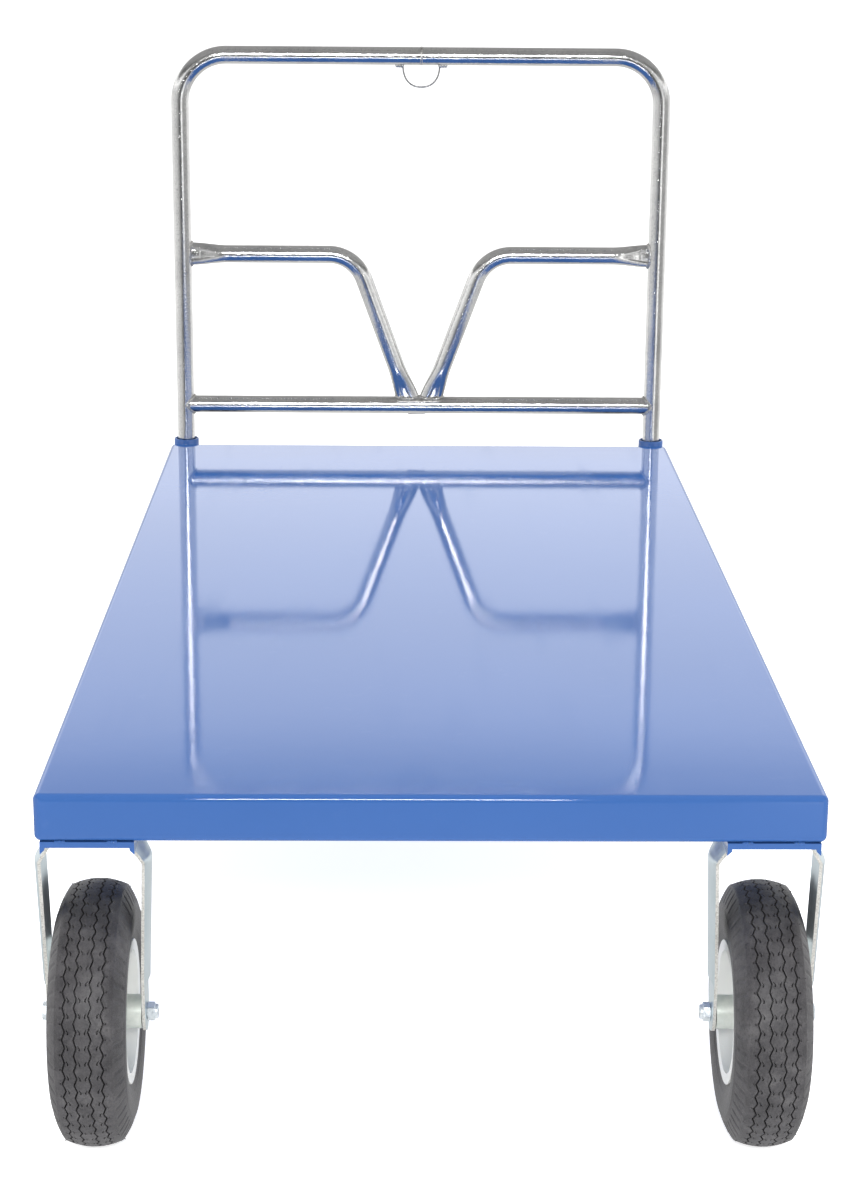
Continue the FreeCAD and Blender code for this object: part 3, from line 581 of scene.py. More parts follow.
def deck_beads():
    """Upright beads beside each socket, and short ones under the front edge at each riser."""
    step = 0.00055
    beside, behind, above = 0.0098, 0.0032, 0.009
    half_short, inside, below = 0.0055, 0.0019, 0.0004
    m = Mesh()
    for word, sign in SIDES:
        for s in (-1, 1):
            start = Vector((sign * LEG_X + s * beside, DECK_HIGH.y + behind, DECK_BOTTOM + above))
            path = [start + Z * (step * i) for i in range(55)]
            weld_bead(m, path, Vector((s * 0.5, 1, 0)), 0.0036, 0.0030, seed=3 + s)
        wheel = middle("front_%s_tyre" % word)
        for u in (-0.026, 0.024):
            start = Vector((wheel.x + u - half_short, DECK_LOW.y + inside, DECK_BOTTOM - below))
            path = [start + X * (step * i) for i in range(21)]
            weld_bead(m, path, Vector((0, -1, 0.3)), 0.0021, 0.0020, seed=9)
    m.object("frame_weld_beads", "cart", "blue_paint", ["blue_paint"], ["deck_welds"])


# ---- handle ----
def tube_mesh(mesh, path):
    """Open-ended tube with a wall, smooth round section."""
    wall = 0.0026
    count = 40
    outer, inner = [], []
    for p, tangent, a, b in frames_along(path, Y):
        outer.append(ring_points(p, a, b, TUBE_R, TUBE_R, count))
        inner.append(ring_points(p, a, b, TUBE_R - wall, TUBE_R - wall, count))
    mesh.grid(outer + inner[::-1], wrap_rows=True, wrap_cols=True)


def at(x, z):
    """A point in the handle's middle plane."""
    return Vector((x, HANDLE_Y, z))


def hoop_halves():
    """Two mirrored halves: leg, bend and half the top bar."""
    for word, sign in SIDES:
        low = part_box("handle_hoop_" + word)[0].z
        points = [at(sign * LEG_X, low), at(sign * LEG_X, TOP_BAR_Z), at(0, TOP_BAR_Z)]
        m = Mesh()
        tube_mesh(m, rounded_path(points, HOOP_BEND))
        m.object("hoop_" + word, "handle", "plated_tube", ["plated_tube"], ["handle_hoop_" + word])


def crossbar():
    """Straight bar whose ends reach a little into the legs."""
    m = Mesh()
    reach = LEG_X - TUBE_R * 0.55
    pieces = 60
    path = [at(-reach + 2 * reach * i / pieces, LOW_BAR_Z) for i in range(pieces + 1)]
    tube_mesh(m, path)
    m.object("crossbar", "handle", "plated_tube", ["plated_tube"], ["lower_crossbar"])


def crimp_section(p, wide, deep, half_h, half_t, floor, depth):
    """Flattened tube section, its front wall pressed in depth over a flat floor, which is
    (its middle, its half width) along wide."""
    count = 72
    shoulder = 0.0024
    row = []
    for i in range(count):
        t = 2 * math.pi * i / count
        w = half_h * math.cos(t)
        d = half_t * math.sin(t)
        if d < 0 and depth > 0:
            edge = (abs(w - floor[0]) - floor[1]) / shoulder
            d += depth * (1.0 - smooth_step(edge + 0.5))
        row.append(p + wide * w + deep * d)
    return row


def press_at(near, pocket):
    """Half width and depth of the pressed floor, near metres from a brace's end. The end
    at the leg has a deeper, ribbed pocket."""
    press_len, press_depth = 0.046, 0.0030
    pocket_len, pocket_depth = 0.0125, 0.0010
    rib_pitch, rib_height = 0.0028, 0.00035
    share = 1.0 - min(1.0, near / press_len)
    floor_half = CRIMP_HALF_H * (0.06 + (0.50 if pocket else 0.36) * share)
    depth = press_depth * smooth_step(share * 1.5)
    if pocket and near < pocket_len:
        depth += pocket_depth + rib_height * math.sin(near * 2 * math.pi / rib_pitch)
    return floor_half, depth


def braces():
    """Bent tubes from the legs down to the crossbar, flattened at both ends."""
    cap_len, foot_shift = 0.004, 0.0030
    mid_z = DECK_TOP + MID_BAR_UP
    for word, sign in SIDES:
        foot_x = BRACE_CORNER_X - (mid_z - LOW_BAR_Z) * math.tan(BRACE_LEAN)
        ends = [at(sign * (LEG_X - TUBE_R * 0.72), mid_z), at(sign * BRACE_CORNER_X, mid_z),
                at(sign * foot_x, LOW_BAR_Z)]
        down = (ends[2] - ends[1]).normalized()
        ends[2] = ends[2] - down * (TUBE_R * 0.62)
        path = rounded_path(ends, BRACE_BEND, 0.0014)
        length = [0.0]
        for k in range(1, len(path)):
            length.append(length[-1] + (path[k] - path[k - 1]).length)
        rows = []
        for k, (p, tangent, a, b) in enumerate(frames_along(path, Y)):
            near = max(0.0, min(length[k], length[-1] - length[k]) - cap_len)
            grow = smooth_step(1.0 - near / CRIMP_LEN)
            half_h = TUBE_R + (CRIMP_HALF_H - TUBE_R) * grow
            half_t = TUBE_R + (CRIMP_HALF_T - TUBE_R) * grow
            at_leg = length[k] < length[-1] / 2
            floor_half, depth = press_at(near, at_leg)
            shift = 0.0 if at_leg else sign * foot_shift * grow
            rows.append(crimp_section(p, a, b, half_h, half_t, (shift, floor_half), depth))
        m = Mesh()
        m.grid(rows, wrap_cols=True, caps=True)
        limit_x(m, sign)
        m.object("brace_" + word, "handle", "plated_tube", ["plated_tube"], ["v_brace_" + word], sharp=60)


def limit_x(mesh, sign):
    """Keeps the two braces on their own sides of the middle."""
    gap = 0.0003
    mesh.verts = [(max(v[0], gap) if sign > 0 else min(v[0], -gap), v[1], v[2]) for v in mesh.verts]


def hanging_loop():
    """Bent wire: level ends under the top bar, and a round eye between them."""
    wire = 0.0012
    reach, tab, eye_half = 0.0362, 0.0085, 0.0272
    under = TOP_BAR_Z - TUBE_R - wire * 0.9
    drop = under - (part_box("hanging_loop")[0].z + wire)
    points = [at(-reach + tab * i / 8, under) for i in range(9)]
    for i in range(1, 48):
        t = math.pi * i / 48
        x = -eye_half * math.copysign(abs(math.cos(t)) ** 0.85, math.cos(t))
        points.append(at(x, under - drop * math.sin(t) ** 0.92))
    points += [at(reach - tab * i / 8, under) for i in range(8, -1, -1)]
    rows = [ring_points(p, a, b, wire, wire, 14) for p, tangent, a, b in frames_along(points, Y)]
    m = Mesh()
    m.grid(rows, wrap_cols=True, caps=True)
    m.object("tag_loop", "handle", "plated_tube", ["wire"], ["hanging_loop"], sharp=60)


def saddle_path(centre, out_dir, up, ra, rb):
    """Where a tube of half sizes ra, rb meets the outside of another of the handle's tubes."""
    count = 96
    path = []
    for i in range(count + 1):
        t = 2 * math.pi * i / count
        height = ra * math.cos(t)
        depth = rb * math.sin(t)
        reach = math.sqrt(max(TUBE_R * TUBE_R - depth * depth, 0.0))
        path.append(centre + out_dir * reach + up * height + Y * depth)
    return path


def joint_bead(mesh, centre, out_dir, up, half_sizes, width, height, seed):
    """The bead round a tube's end where it meets another tube's side."""
    path = saddle_path(centre, out_dir, up, *half_sizes)
    radial_bead(mesh, path, centre + out_dir * TUBE_R, width, height, seed)


def handle_beads():
    """Butt seam in the top bar, beads round the joints, tacks on the loop, and the V's foot."""
    m = Mesh()
    seam = at(0, TOP_BAR_Z)
    around = ring_points(seam, Y, Z, TUBE_R, TUBE_R, 90)
    radial_bead(m, around + around[:1], seam, 0.0020, 0.0004, seed=5)
    mid_z = DECK_TOP + MID_BAR_UP
    foot_x = BRACE_CORNER_X - (mid_z - LOW_BAR_Z - TUBE_R) * math.tan(BRACE_LEAN)
    bar_sizes = (TUBE_R * 0.985, TUBE_R * 0.97)
    for word, sign in SIDES:
        leg, top = at(sign * LEG_X, LOW_BAR_Z), at(sign * LEG_X, mid_z)
        foot = at(sign * foot_x, LOW_BAR_Z)
        joint_bead(m, leg, X * -sign, Z, bar_sizes, 0.0024, 0.0024, seed=11)
        joint_bead(m, top, X * -sign, Z, (CRIMP_HALF_H, CRIMP_HALF_T), 0.0026, 0.0024, seed=13)
        joint_bead(m, foot, Z, X, (CRIMP_HALF_H * 1.02, CRIMP_HALF_T), 0.0023, 0.0023, seed=17)
        for k, x in enumerate((0.0285, 0.0325, 0.0362)):
            blob = at(sign * x, TOP_BAR_Z - TUBE_R - 0.0006)
            lump(m, blob, 0.0034 - 0.0003 * k, 19 + k)
    step = 0.0009
    under = at(-0.004, LOW_BAR_Z - TUBE_R)
    weld_bead(m, [under + X * (step * i) for i in range(-16, 17)], -Z, 0.0040, 0.0011, seed=23)
    ridge = math.radians(38)
    front = at(0, LOW_BAR_Z) - Y * (TUBE_R * math.cos(ridge)) + Z * (TUBE_R * math.sin(ridge))
    out = Z * math.sin(ridge) - Y * math.cos(ridge)
    path = [front + X * (step * i) for i in range(-38, 39)]
    weld_bead(m, path, out, 0.0034, 0.0013, seed=29, ripple=0.0034)
    m.object("handle_weld_beads", "handle", "plated_tube", ["weld"], ["handle_welds"], sharp=70)


def radial_bead(mesh, path, centre, width, height, seed):
    """A closed bead whose crown points away from centre."""
    rng = random.Random(seed)
    rows = []
    count = len(path) - 1
    for k in range(count):
        p = path[k]
        tangent = (path[(k + 1) % count] - path[k - 1]).normalized()
        crown = (p - centre) - tangent * (p - centre).dot(tangent)
        crown = crown.normalized()
        side = tangent.cross(crown)
        swell = 0.86 + 0.16 * math.sin(k * 1.55 + seed) + 0.10 * rng.random()
        rows.append(ring_points(p, side, crown, width * swell, height * swell, 10))
    mesh.grid(rows, wrap_rows=True, wrap_cols=True)


def lump(mesh, centre, radius, seed):
    """A tack weld: a ball with an uneven surface."""
    rows = []
    for i in range(1, 10):
        a = math.pi * i / 10
        row = []
        for j in range(16):
            t = 2 * math.pi * j / 16
            d = Vector((math.sin(a) * math.cos(t), math.sin(a) * math.sin(t), math.cos(a)))
            r = radius * (1 + 0.22 * noise.noise(d * 1.7 + Vector((seed, 0, 0))))
            row.append(centre + d * r)
        rows.append(row)
    mesh.grid(rows, wrap_cols=True, caps=True)


# ---- forks ----
def blended(first, last, count, eased=()):
    """Rows after first, up to last; the values numbered in eased start and stop softly."""
    rows = []
    for i in range(1, count + 1):
        t = i / count
        shares = [smooth_step(t) if k in eased else t for k in range(len(first))]
        rows.append(tuple(a + (b - a) * share for a, b, share in zip(first, last, shares)))
    return rows


def fork_rows(top, axle, turn_y, half_top):
    """Outer line of the sheet from the middle of the bridge down to the lug's end, as
    (across, height, middle y, half width, rise of the arch, angle from the flat)."""
    bend, drop, bridge = 0.009, 0.025, 0.039
    leg_half, step_half, low_half = 0.021, 0.020, 0.0196
    first_arch, arch, low_arch = 0.0006, 0.0048, 0.0038
    step_z = axle.z + 0.040
    step_len, run_out = 0.006, 0.030
    upright = math.pi / 2
    slope = math.atan2(drop, LEG_OUT - bridge)
    left = upright - slope
    flat_end = bridge - bend * math.tan(slope / 2)
    bend_z = top - drop - bend * math.tan(left / 2)
    half_shoulder = leg_half + (half_top - leg_half) * 0.25
    rows = [(flat_end * i / 8, top, turn_y, half_top, 0.0, 0.0) for i in range(9)]
    for i in range(1, 9):
        a = slope * i / 8
        rows.append((flat_end + bend * math.sin(a), top - bend * (1 - math.cos(a)), turn_y, half_top,
                     first_arch * i / 8, a))
    slope_end = (LEG_OUT - bend + bend * math.sin(slope), bend_z + bend * math.cos(slope), turn_y,
                 half_shoulder, arch * 0.7, slope)
    rows += blended(rows[-1], slope_end, 8, eased=(3, 4))
    for i in range(1, 9):
        a = slope + left * i / 8
        rows.append((LEG_OUT - bend + bend * math.sin(a), bend_z + bend * math.cos(a), turn_y,
                     leg_half + (half_shoulder - leg_half) * (1 - i / 8), arch * (0.7 + 0.3 * i / 8), a))
    trail = axle.y - turn_y
    step = (LUG_OUT, step_z, turn_y + trail * 0.80, step_half, low_arch, upright)
    flat = (LUG_OUT, step_z - step_len, turn_y + trail * 0.83, low_half, 0.0, upright)
    lug = (LUG_OUT, step_z - step_len - run_out, axle.y, LUG_R, 0.0, upright)
    for stop, count, eased in ((step, 24, ()), (flat, 8, (4,)), (lug, 8, ())):
        rows += blended(rows[-1], stop, count, eased)
    for i in range(13):
        a = math.radians(12 + 77 * i / 12)
        rows.append((LUG_OUT, axle.z - LUG_R * math.sin(a), axle.y, LUG_R * math.cos(a), 0.0, upright))
    return rows


def fork(name, body, wheel, turn_y, half_top):
    """Pressed fork: one strip of sheet, mirrored about the wheel's middle plane."""
    across = 14
    edge_roll = 0.0005
    node = wheel + "_fork"
    axle = middle(wheel + "_tyre")
    rows = fork_rows(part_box(node)[1].z, axle, turn_y, half_top)
    strips = [(-u, z, y, half, rise, -a) for u, z, y, half, rise, a in reversed(rows)][:-1] + rows
    m = Mesh()
    outer, inner = [], []
    for u, z, y, half, rise, a in strips:
        out = Vector((math.sin(a), 0, math.cos(a)))
        line_out, line_in = [], []
        for j in range(across + 1):
            v = 2 * j / across - 1
            lift = rise * (1 - v * v)
            roll = edge_roll * max(0.0, abs(v) * 7 - 6)
            p = Vector((axle.x + u, y + half * v, z))
            line_out.append(p + out * (lift - roll))
            line_in.append(p + out * (lift - FORK_T + roll * 0.6))
        outer.append(line_out)
        inner.append(line_in)
    m.grid(outer)
    m.grid(inner)
    for j in (0, across):
        m.grid([[a[j], b[j]] for a, b in zip(outer, inner)], mark=1)
    for k in (0, -1):
        m.grid([outer[k], inner[k]], mark=1)
    m.object(name, body, "zinc_plate", ["zinc_plate", "edge"], [node], sharp=42, merge=0.00001)


# ---- fasteners ----
def hex_body(mesh, base, push, height, turn, both=False):
    """Hexagonal body with turned chamfers at its far face, and at the near one if both."""
    axis = push.normalized()
    a = axis.orthogonal().normalized()
    b = axis.cross(a)
    flat = HEX_AF / 2
    face = flat * 0.93
    slant = math.tan(math.radians(28))
    lines = [[], [], [], [], []]
    for i in range(72):
        t = math.radians(5 * i)
        local = (t + turn) % (math.pi / 3) - math.pi / 6
        corner = flat / math.cos(local)
        cut = max(0.0, corner - face) * slant
        d = a * math.cos(t) + b * math.sin(t)
        near = min(cut, height / 3) if both else 0.0
        lines[0].append(base + d * (face if both else corner * 0.995))
        lines[1].append(base + d * corner + axis * near)
        lines[2].append(base + d * corner + axis * (height - min(cut, height / 2.4)))
        lines[3].append(base + d * face + axis * height)
        lines[4].append(base + d * (face * 0.55) + axis * height)
    mesh.grid(lines, wrap_cols=True, caps=True)


def threaded(mesh, base, push, length):
    """Threaded bolt end with a chamfered tip."""
    pitch, thread, tip_len = 0.0015, 0.0008, 0.0010
    axis = push.normalized()
    a = axis.orthogonal().normalized()
    b = axis.cross(a)
    steps = max(4, int(length / (pitch / 6)))
    rows = []
    for k in range(steps + 1):
        z = length * k / steps
        row = []
        for i in range(36):
            t = 2 * math.pi * i / 36
            phase = (z / pitch - i / 36) % 1.0
            depth = thread * abs(2 * phase - 1)
            tip = max(0.0, z - (length - tip_len))
            row.append(base + (a * math.cos(t) + b * math.sin(t)) * (AXLE_R - depth - tip * 0.8) + axis * z)
        rows.append(row)
    mesh.grid(rows, wrap_cols=True, caps=True)


def axle_fasteners(centre, sign, head, nut):
    """Adds the outboard head and the threaded end to one mesh, and the lock nut to the other."""
    out = X * sign
    hex_body(head, centre + out * LUG_OUT, out, HEAD_H, turn=0.2)
    threaded(head, centre - out * (LUG_OUT + 0.0004), -out, NUT_ALL - 0.0016)
    seat = centre - out * LUG_OUT
    hex_body(nut, seat, -out, NUT_H, turn=0.45, both=True)
    sunk, chamfer = 0.0005, 0.0008
    rise = NUT_ALL - NUT_H
    collar, mouth, bore = HEX_AF * 0.43, AXLE_R + 0.0011, AXLE_R + 0.0008
    shell = [(collar, -sunk), (collar, rise - chamfer), (collar - chamfer, rise), (mouth, rise),
             (bore, rise - 0.0010), (bore, -sunk)]
    ring_out, ring_in, ring_foot = AXLE_R + 0.0010, AXLE_R + 0.0002, -0.0002
    ring = [(ring_out, rise - 0.0004), (ring_in, rise - 0.0006), (ring_in, ring_foot), (ring_out, ring_foot)]
    for mark, profile in enumerate((shell, ring)):
        lathe(nut, seat - out * NUT_H, [(r, -sign * u) for r, u in profile], 48, mark=mark)


def bolt_and_nut(head, nut, names, body, nodes):
    """Makes the two pieces of one body's axle fasteners."""
    head.object(names[0], body, "zinc_plate", ["fastener"], [nodes[0]], sharp=25)
    nut.object(names[1], body, "zinc_plate", ["fastener", "nylon"], [nodes[1]], sharp=25)


def wheel_fasteners():
    """The front pair is on the cart and shares its pieces; each rear pair turns with its swivel."""
    head, nut = Mesh(), Mesh()
    for word, sign in SIDES:
        axle_fasteners(middle("front_%s_tyre" % word), sign, head, nut)
    bolt_and_nut(head, nut, ("front_bolt_heads", "front_lock_nuts"), "cart",
                 ("front_axle_bolts", "front_axle_nuts"))
    for word, sign in SIDES:
        head, nut = Mesh(), Mesh()
        name = "rear_%s_" % word
        axle_fasteners(middle(name + "tyre"), sign, head, nut)
        bolt_and_nut(head, nut, (name + "bolt_head", name + "lock_nut"), name + "swivel",
                     (name + "axle_bolt", name + "axle_nut"))


# ---- tyres ----
ZIGZAGS = 54
STEPS = 12  # columns of points in one zigzag
TREAD_HALF = 0.027
CROWN_DROP = 0.006
GROOVES = (-0.0183, -0.0070, 0.0070, 0.0183)
GROOVE_HALF = 0.00085
GROOVE_DEPTH = 0.0046
GROOVE_LINES = (-0.0036, -0.0028, -0.0016, -GROOVE_HALF, -GROOVE_HALF * 0.5, GROOVE_HALF * 0.5, GROOVE_HALF,
                0.0022, 0.0026, 0.0034, 0.0042, 0.0048)
BEAD_FOOT = ((0.0718, 0.0330), (0.0700, 0.0316), (0.0640, 0.0314))
SWING = 0.0014


def crown_radius(u):
    """Tyre radius across the tread, which falls by CROWN_DROP at its edges."""
    return TYRE_R - CROWN_DROP * (u / TREAD_HALF) ** 2


def sidewall(sign):
    """Points (radius, across, share of the way) from the tread's edge down to the bead."""
    edge_r, widest_r, bead_r = 0.127, 0.097, 0.0735
    widest, bead = 0.038, 0.033
    out = []
    for i in range(1, 33):
        t = i / 32
        if t < 0.5:
            a = t / 0.5
            r = edge_r - (edge_r - widest_r) * a
            u = TREAD_HALF + (widest - TREAD_HALF) * (1 - (1 - a) ** 1.9)
        else:
            a = (t - 0.5) / 0.5
            r = widest_r - (widest_r - bead_r) * a
            u = widest - (widest - bead) * a ** 1.8
        out.append((r, sign * u, t))
    return out


def groove_point(station, zig, phase, spot):
    """Point (radius, across) on one of the lines that follow a groove."""
    c, d = station
    flip = -1 if c < 0 else 1
    wobble = 0.0006 * noise.noise(spot + Vector((c * 900, 0, 0)))
    u = c + d + (zig * flip + wobble) * (1.0 if abs(d) < 0.0030 else 0.5)
    depth = GROOVE_DEPTH if abs(d) < GROOVE_HALF * 0.7 else 0.0
    depth = max(depth, sipe_depth(c, d, phase))
    depth += 0.00020 * (1.0 + noise.noise(spot * 2.3 + Vector((u * 260, 0, 0))))
    return crown_radius(u) - depth, u


def tyre(name, body, centre):
    """Ribbed pneumatic tyre: zigzag grooves, sipes, shoulder blocks, sidewall rings."""
    stations = []
    for c in GROOVES:
        inward = 1 if c < 0 else -1
        stations += [(c, inward * d) for d in GROOVE_LINES[::inward]]
    edge_r = crown_radius(TREAD_HALF)
    columns = ZIGZAGS * STEPS
    rows = []
    for j in range(columns):
        theta = 2 * math.pi * j / columns
        phase = (j % STEPS) / STEPS
        zig = (abs(2 * phase - 1) * 2 - 1) * SWING
        spot = Vector((math.cos(theta), math.sin(theta), centre.x * 3)) * 14.0
        line = [(r, u - side_swell(t, j, -1)) for r, u, t in reversed(sidewall(-1))]
        line.append((edge_r, -TREAD_HALF))
        line += [groove_point(station, zig, phase, spot) for station in stations]
        line.append((edge_r, TREAD_HALF))
        line += [(r, u + side_swell(t, j, 1)) for r, u, t in sidewall(1)]
        line += BEAD_FOOT
        line += [(r, -u) for r, u in reversed(BEAD_FOOT)]
        c, s = math.cos(theta), math.sin(theta)
        rows.append([Vector((centre.x + u, centre.y + r * c, centre.z + r * s)) for r, u in line])
    m = Mesh()
    m.grid(rows, wrap_rows=True, wrap_cols=True)
    vents(m, centre)
    m.object(name, body, "tyre_rubber", ["tyre_rubber"], [name.replace("_cover", "_tyre")], sharp=38)


def sipe_depth(c, d, phase):
    """Short slanted cuts set a little in from each groove, and nicks outside the outer two."""
    sipe, nick = 0.0042, 0.0014
    inner = d if c < 0 else -d
    if 0.0024 < inner < 0.0045:
        slant = 0.42 + (inner - 0.0026) / 0.0016 * 0.16
        return sipe if abs(phase - slant) < 0.06 else 0.0
    if -0.0030 < inner < -0.0014 and abs(c) > 0.01:
        return nick if min(phase, 1 - phase) < 0.05 else 0.0
    return 0.0


def side_swell(t, j, sign):
    """Cuts between the shoulder blocks, and two rings, as a distance outward."""
    cut, ring = 0.0008, 0.0005
    phase = ((j + (STEPS // 2 if sign > 0 else 0)) % STEPS) / STEPS
    if 0.06 < t < 0.30:
        return 0.0 if 0.16 < phase < 0.84 else -cut
    if 0.37 < t < 0.41 or 0.80 < t < 0.84:
        return ring
    return 0.0


def vents(mesh, centre):
    """Rubber hairs left by the mould's vents, along both shoulders."""
    rng = random.Random(4)
    count = 26
    root_r = 0.1265
    for k in range(count):
        a = 2 * math.pi * k / count + 0.05 * rng.random()
        side = -1 if k % 2 else 1
        d = Vector((side * 0.75, 0.66 * math.cos(a), 0.66 * math.sin(a))).normalized()
        base = centre + Vector((side * TREAD_HALF, root_r * math.cos(a), root_r * math.sin(a)))
        across = d.orthogonal().normalized()
        rows = []
        for z, r in ((-0.0008, 0.0005), (0.0010, 0.00042), (0.0017, 0.0003)):
            rows.append(ring_points(base + d * z, across, d.cross(across), r, r, 8))
        mesh.grid(rows, wrap_cols=True, caps=True)


# ---- finishes on the CAD nodes that stay ----
def finish_nodes():
    """Gives each CAD node its slot's material; small plated parts look like the fasteners."""
    for row in frame["record"]["subparts"]:
        node = frame["nodes"][row["node"]]
        key = row["material_slot"]
        if row["node"] in ("caster_bolts", "caster_nuts", "kingpin_nuts", "kingpins"):
            key = "fastener"
        node.data.materials.clear()
        node.data.materials.append(MAT[key])


# ---- studio ----
def floor():
    """Pale matt floor that glows a little, so that the shadows stay faint."""
    s = Shader("studio_floor", emission_strength=0.72)
    speck = s.noise(3.0, 3.0)
    s.color(s.mix(speck, (0.90, 0.90, 0.90), (0.93, 0.93, 0.93)))
    s.feed(s.bsdf.inputs["Emission Color"], (1.0, 1.0, 1.0, 1.0))
    s.roughness(s.span(speck, 0.85, 0.95))
    s.bumps((s.noise(9.0, 2.0), 0.0004),)
    size = 60.0
    mesh = bpy.data.meshes.new("floor")
    corners = [(-size, -size, 0), (size, -size, 0), (size, size, 0), (-size, size, 0)]
    mesh.from_pydata(corners, [], [(0, 1, 2, 3)])
    mesh.materials.append(s.mat)
    ground = bpy.data.objects.new("floor", mesh)
    ground.visible_glossy = False
    bpy.context.scene.collection.objects.link(ground)


class Sky:
    """World brightness worked out from the direction's height and bearing."""

    def __init__(self):
        world = bpy.data.worlds.new("studio")
        bpy.context.scene.world = world
        world.use_nodes = True
        self.tree = world.node_tree
        coords = self.tree.nodes.new("ShaderNodeTexCoord")
        split = self.tree.nodes.new("ShaderNodeSeparateXYZ")
        self.tree.links.new(coords.outputs["Generated"], split.inputs[0])
        self.x, self.y, self.z = split.outputs

    def math(self, operation, a, b=0.0):
        return math_node(self.tree, operation, a, b)

    def blend(self, share, a, b):
        rest = self.math("MULTIPLY", self.math("SUBTRACT", 1.0, share), a)
        return self.math("ADD", rest, self.math("MULTIPLY", share, b))

    def curve(self, value, limit, *stops):
        """Brightness by a value in degrees from -limit to limit, through stops of
        (degrees, brightness). A ramp holds at most 1, so the brightness is scaled by peak."""
        peak = 3.0
        span = self.tree.nodes.new("ShaderNodeMapRange")
        feed(self.tree, span.inputs["Value"], value)
        feed(self.tree, span.inputs["From Min"], -limit)
        feed(self.tree, span.inputs["From Max"], limit)
        ramp = self.tree.nodes.new("ShaderNodeValToRGB")
        self.tree.links.new(span.outputs["Result"], ramp.inputs["Fac"])
        elements = ramp.color_ramp.elements
        while len(elements) < len(stops):
            elements.new(0.5)
        for element, (degrees, bright) in zip(elements, stops):
            element.position = (degrees + limit) / (2 * limit)
            element.color = (bright / peak, bright / peak, bright / peak, 1)
        return self.math("MULTIPLY", ramp.outputs["Color"], peak)


def world():
    """White to the eye; in reflections, white beyond the cart and a studio behind the camera."""
    sky = Sky()
    height = sky.math("DEGREES", sky.math("ARCSINE", sky.z))
    bearing = sky.math("DEGREES", sky.math("ARCTAN2", sky.x, sky.math("MULTIPLY", sky.y, -1.0)))
    beyond = sky.curve(height, 90, (-90, 0.8), (-22, 0.80), (-17, 1.10), (-2, 1.20), (3, 0.95), (11, 0.95),
                       (12.2, 1.96), (13, 1.90), (15.3, 1.66), (17.6, 1.52), (19.0, 1.38), (20.4, 0.74),
                       (30, 0.5), (50, 0.42), (90, 0.40))
    beside = sky.curve(height, 90, (-90, 0.8), (8, 0.8), (11, 1.6), (18.1, 1.6), (18.7, 0.20), (32, 0.20),
                       (38, 0.40), (90, 0.40))
    ahead = sky.curve(height, 90, (-90, 0.8), (-40, 0.85), (-4, 0.85), (4, 0.32), (90, 0.36))
    aside = sky.curve(bearing, 180, (-180, 1.0), (-32, 1.0), (-20, 0.0), (20, 0.0), (32, 1.0), (180, 1.0))
    upper = sky.blend(aside, ahead, beside)
    around = sky.curve(bearing, 180, (-180, 1.15), (-110, 1.1), (-85, 0.95), (-45, 0.75), (-22, 0.42),
                       (-8, 0.10), (6, 0.10), (12, 0.34), (17, 1.7), (28, 1.7), (34, 0.42), (80, 0.50),
                       (110, 1.0), (180, 1.15))
    level = sky.curve(height, 90, (-90, 0.0), (-22, 0.0), (-18, 1.0), (-1, 1.0), (5, 0.0), (90, 0.0))
    front = sky.blend(level, upper, around)
    facing = sky.curve(bearing, 180, (-180, 0.0), (-120, 0.0), (-85, 1.0), (85, 1.0), (120, 0.0),
                       (180, 0.0))
    mirrored = sky.blend(facing, beyond, front)
    rays = sky.tree.nodes.new("ShaderNodeLightPath")
    fill, backdrop = 0.62, 1.15
    plain = sky.blend(rays.outputs["Is Camera Ray"], fill, backdrop)
    total = sky.blend(rays.outputs["Is Glossy Ray"], plain, mirrored)
    sky.tree.links.new(total, sky.tree.nodes["Background"].inputs["Color"])


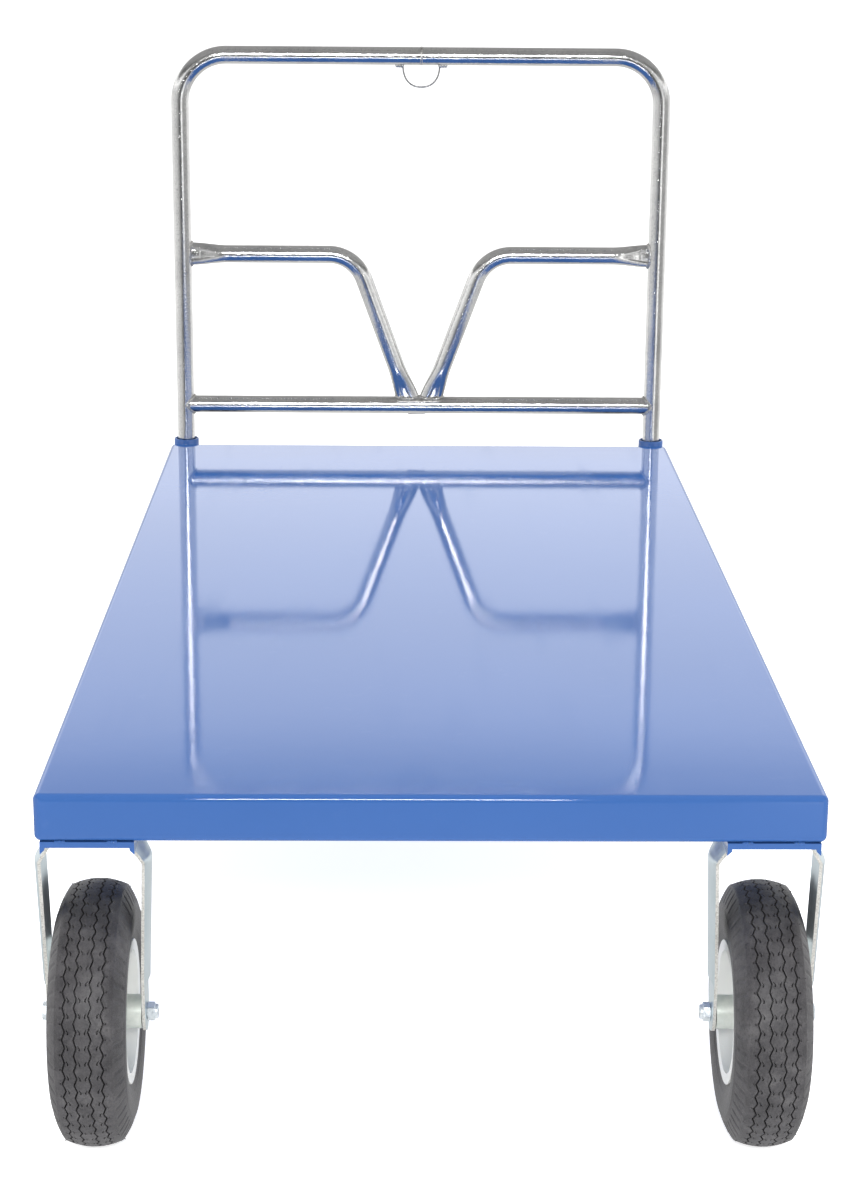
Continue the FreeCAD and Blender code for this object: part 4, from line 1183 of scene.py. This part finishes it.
def area_light(name, place, target, size, energy, mirrored=False):
    """Soft box; unless mirrored, it lights without showing in shiny surfaces."""
    data = bpy.data.lights.new(name, "AREA")
    data.shape = "RECTANGLE"
    data.size, data.size_y = size
    data.energy = energy
    lamp = bpy.data.objects.new(name, data)
    lamp.location = place
    lamp.rotation_euler = (target - place).to_track_quat("-Z", "Y").to_euler()
    lamp.visible_glossy = mirrored
    bpy.context.scene.collection.objects.link(lamp)


def camera():
    """Stands off the deck's front end, a little left of the middle, looking down at it."""
    place = Vector((-0.0355, middle("front_left_tyre").y - 2.2945, DECK_TOP + 0.8503))
    yaw, pitch, roll = 0.01582, 0.28339, 0.00809
    forward = Vector((math.sin(yaw) * math.cos(pitch), math.cos(yaw) * math.cos(pitch), -math.sin(pitch)))
    right0 = Vector((math.cos(yaw), -math.sin(yaw), 0))
    up0 = right0.cross(forward)
    right = right0 * math.cos(roll) + up0 * math.sin(roll)
    up = up0 * math.cos(roll) - right0 * math.sin(roll)
    data = bpy.data.cameras.new("camera")
    data.sensor_width = 36.0
    data.lens = 75.03
    data.clip_end = 200.0
    cam = bpy.data.objects.new("camera", data)
    cam.matrix_world = Matrix.Translation(place) @ Matrix((right, up, -forward)).transposed().to_4x4()
    bpy.context.scene.collection.objects.link(cam)
    bpy.context.scene.camera = cam


# ---- build ----
finish_nodes()
deck()
sockets()
deck_beads()
hoop_halves()
crossbar()
braces()
hanging_loop()
handle_beads()
for word, sign in SIDES:
    front, rear = "front_" + word, "rear_" + word
    fork("rigid_fork_" + word, "cart", front, middle(front + "_tyre").y, RIGID_HALF)
    fork("swivel_fork_" + word, rear + "_swivel", rear, middle(rear + "_bearing_balls").y, SWIVEL_HALF)
wheel_fasteners()
for wheel in WHEELS:
    tyre(wheel + "_cover", wheel + "_wheel", middle(wheel + "_tyre"))
floor()
world()
area_light("right_fill", Vector((3.6, -1.6, 2.4)), Vector((0, 0, 0.3)), (2.5, 2.5), 24.0)
area_light("top", Vector((0.0, 0.4, 4.4)), Vector((0, 0, 0.3)), (3.5, 3.5), 198.0)
area_light("flash_umbrella", Vector((-0.1, -4.2, 2.19)), Vector((0, 0.78, 0.68)), (1.3, 0.5), 98.0,
           mirrored=True)
camera()
bpy.context.scene.view_settings.view_transform = "Standard"
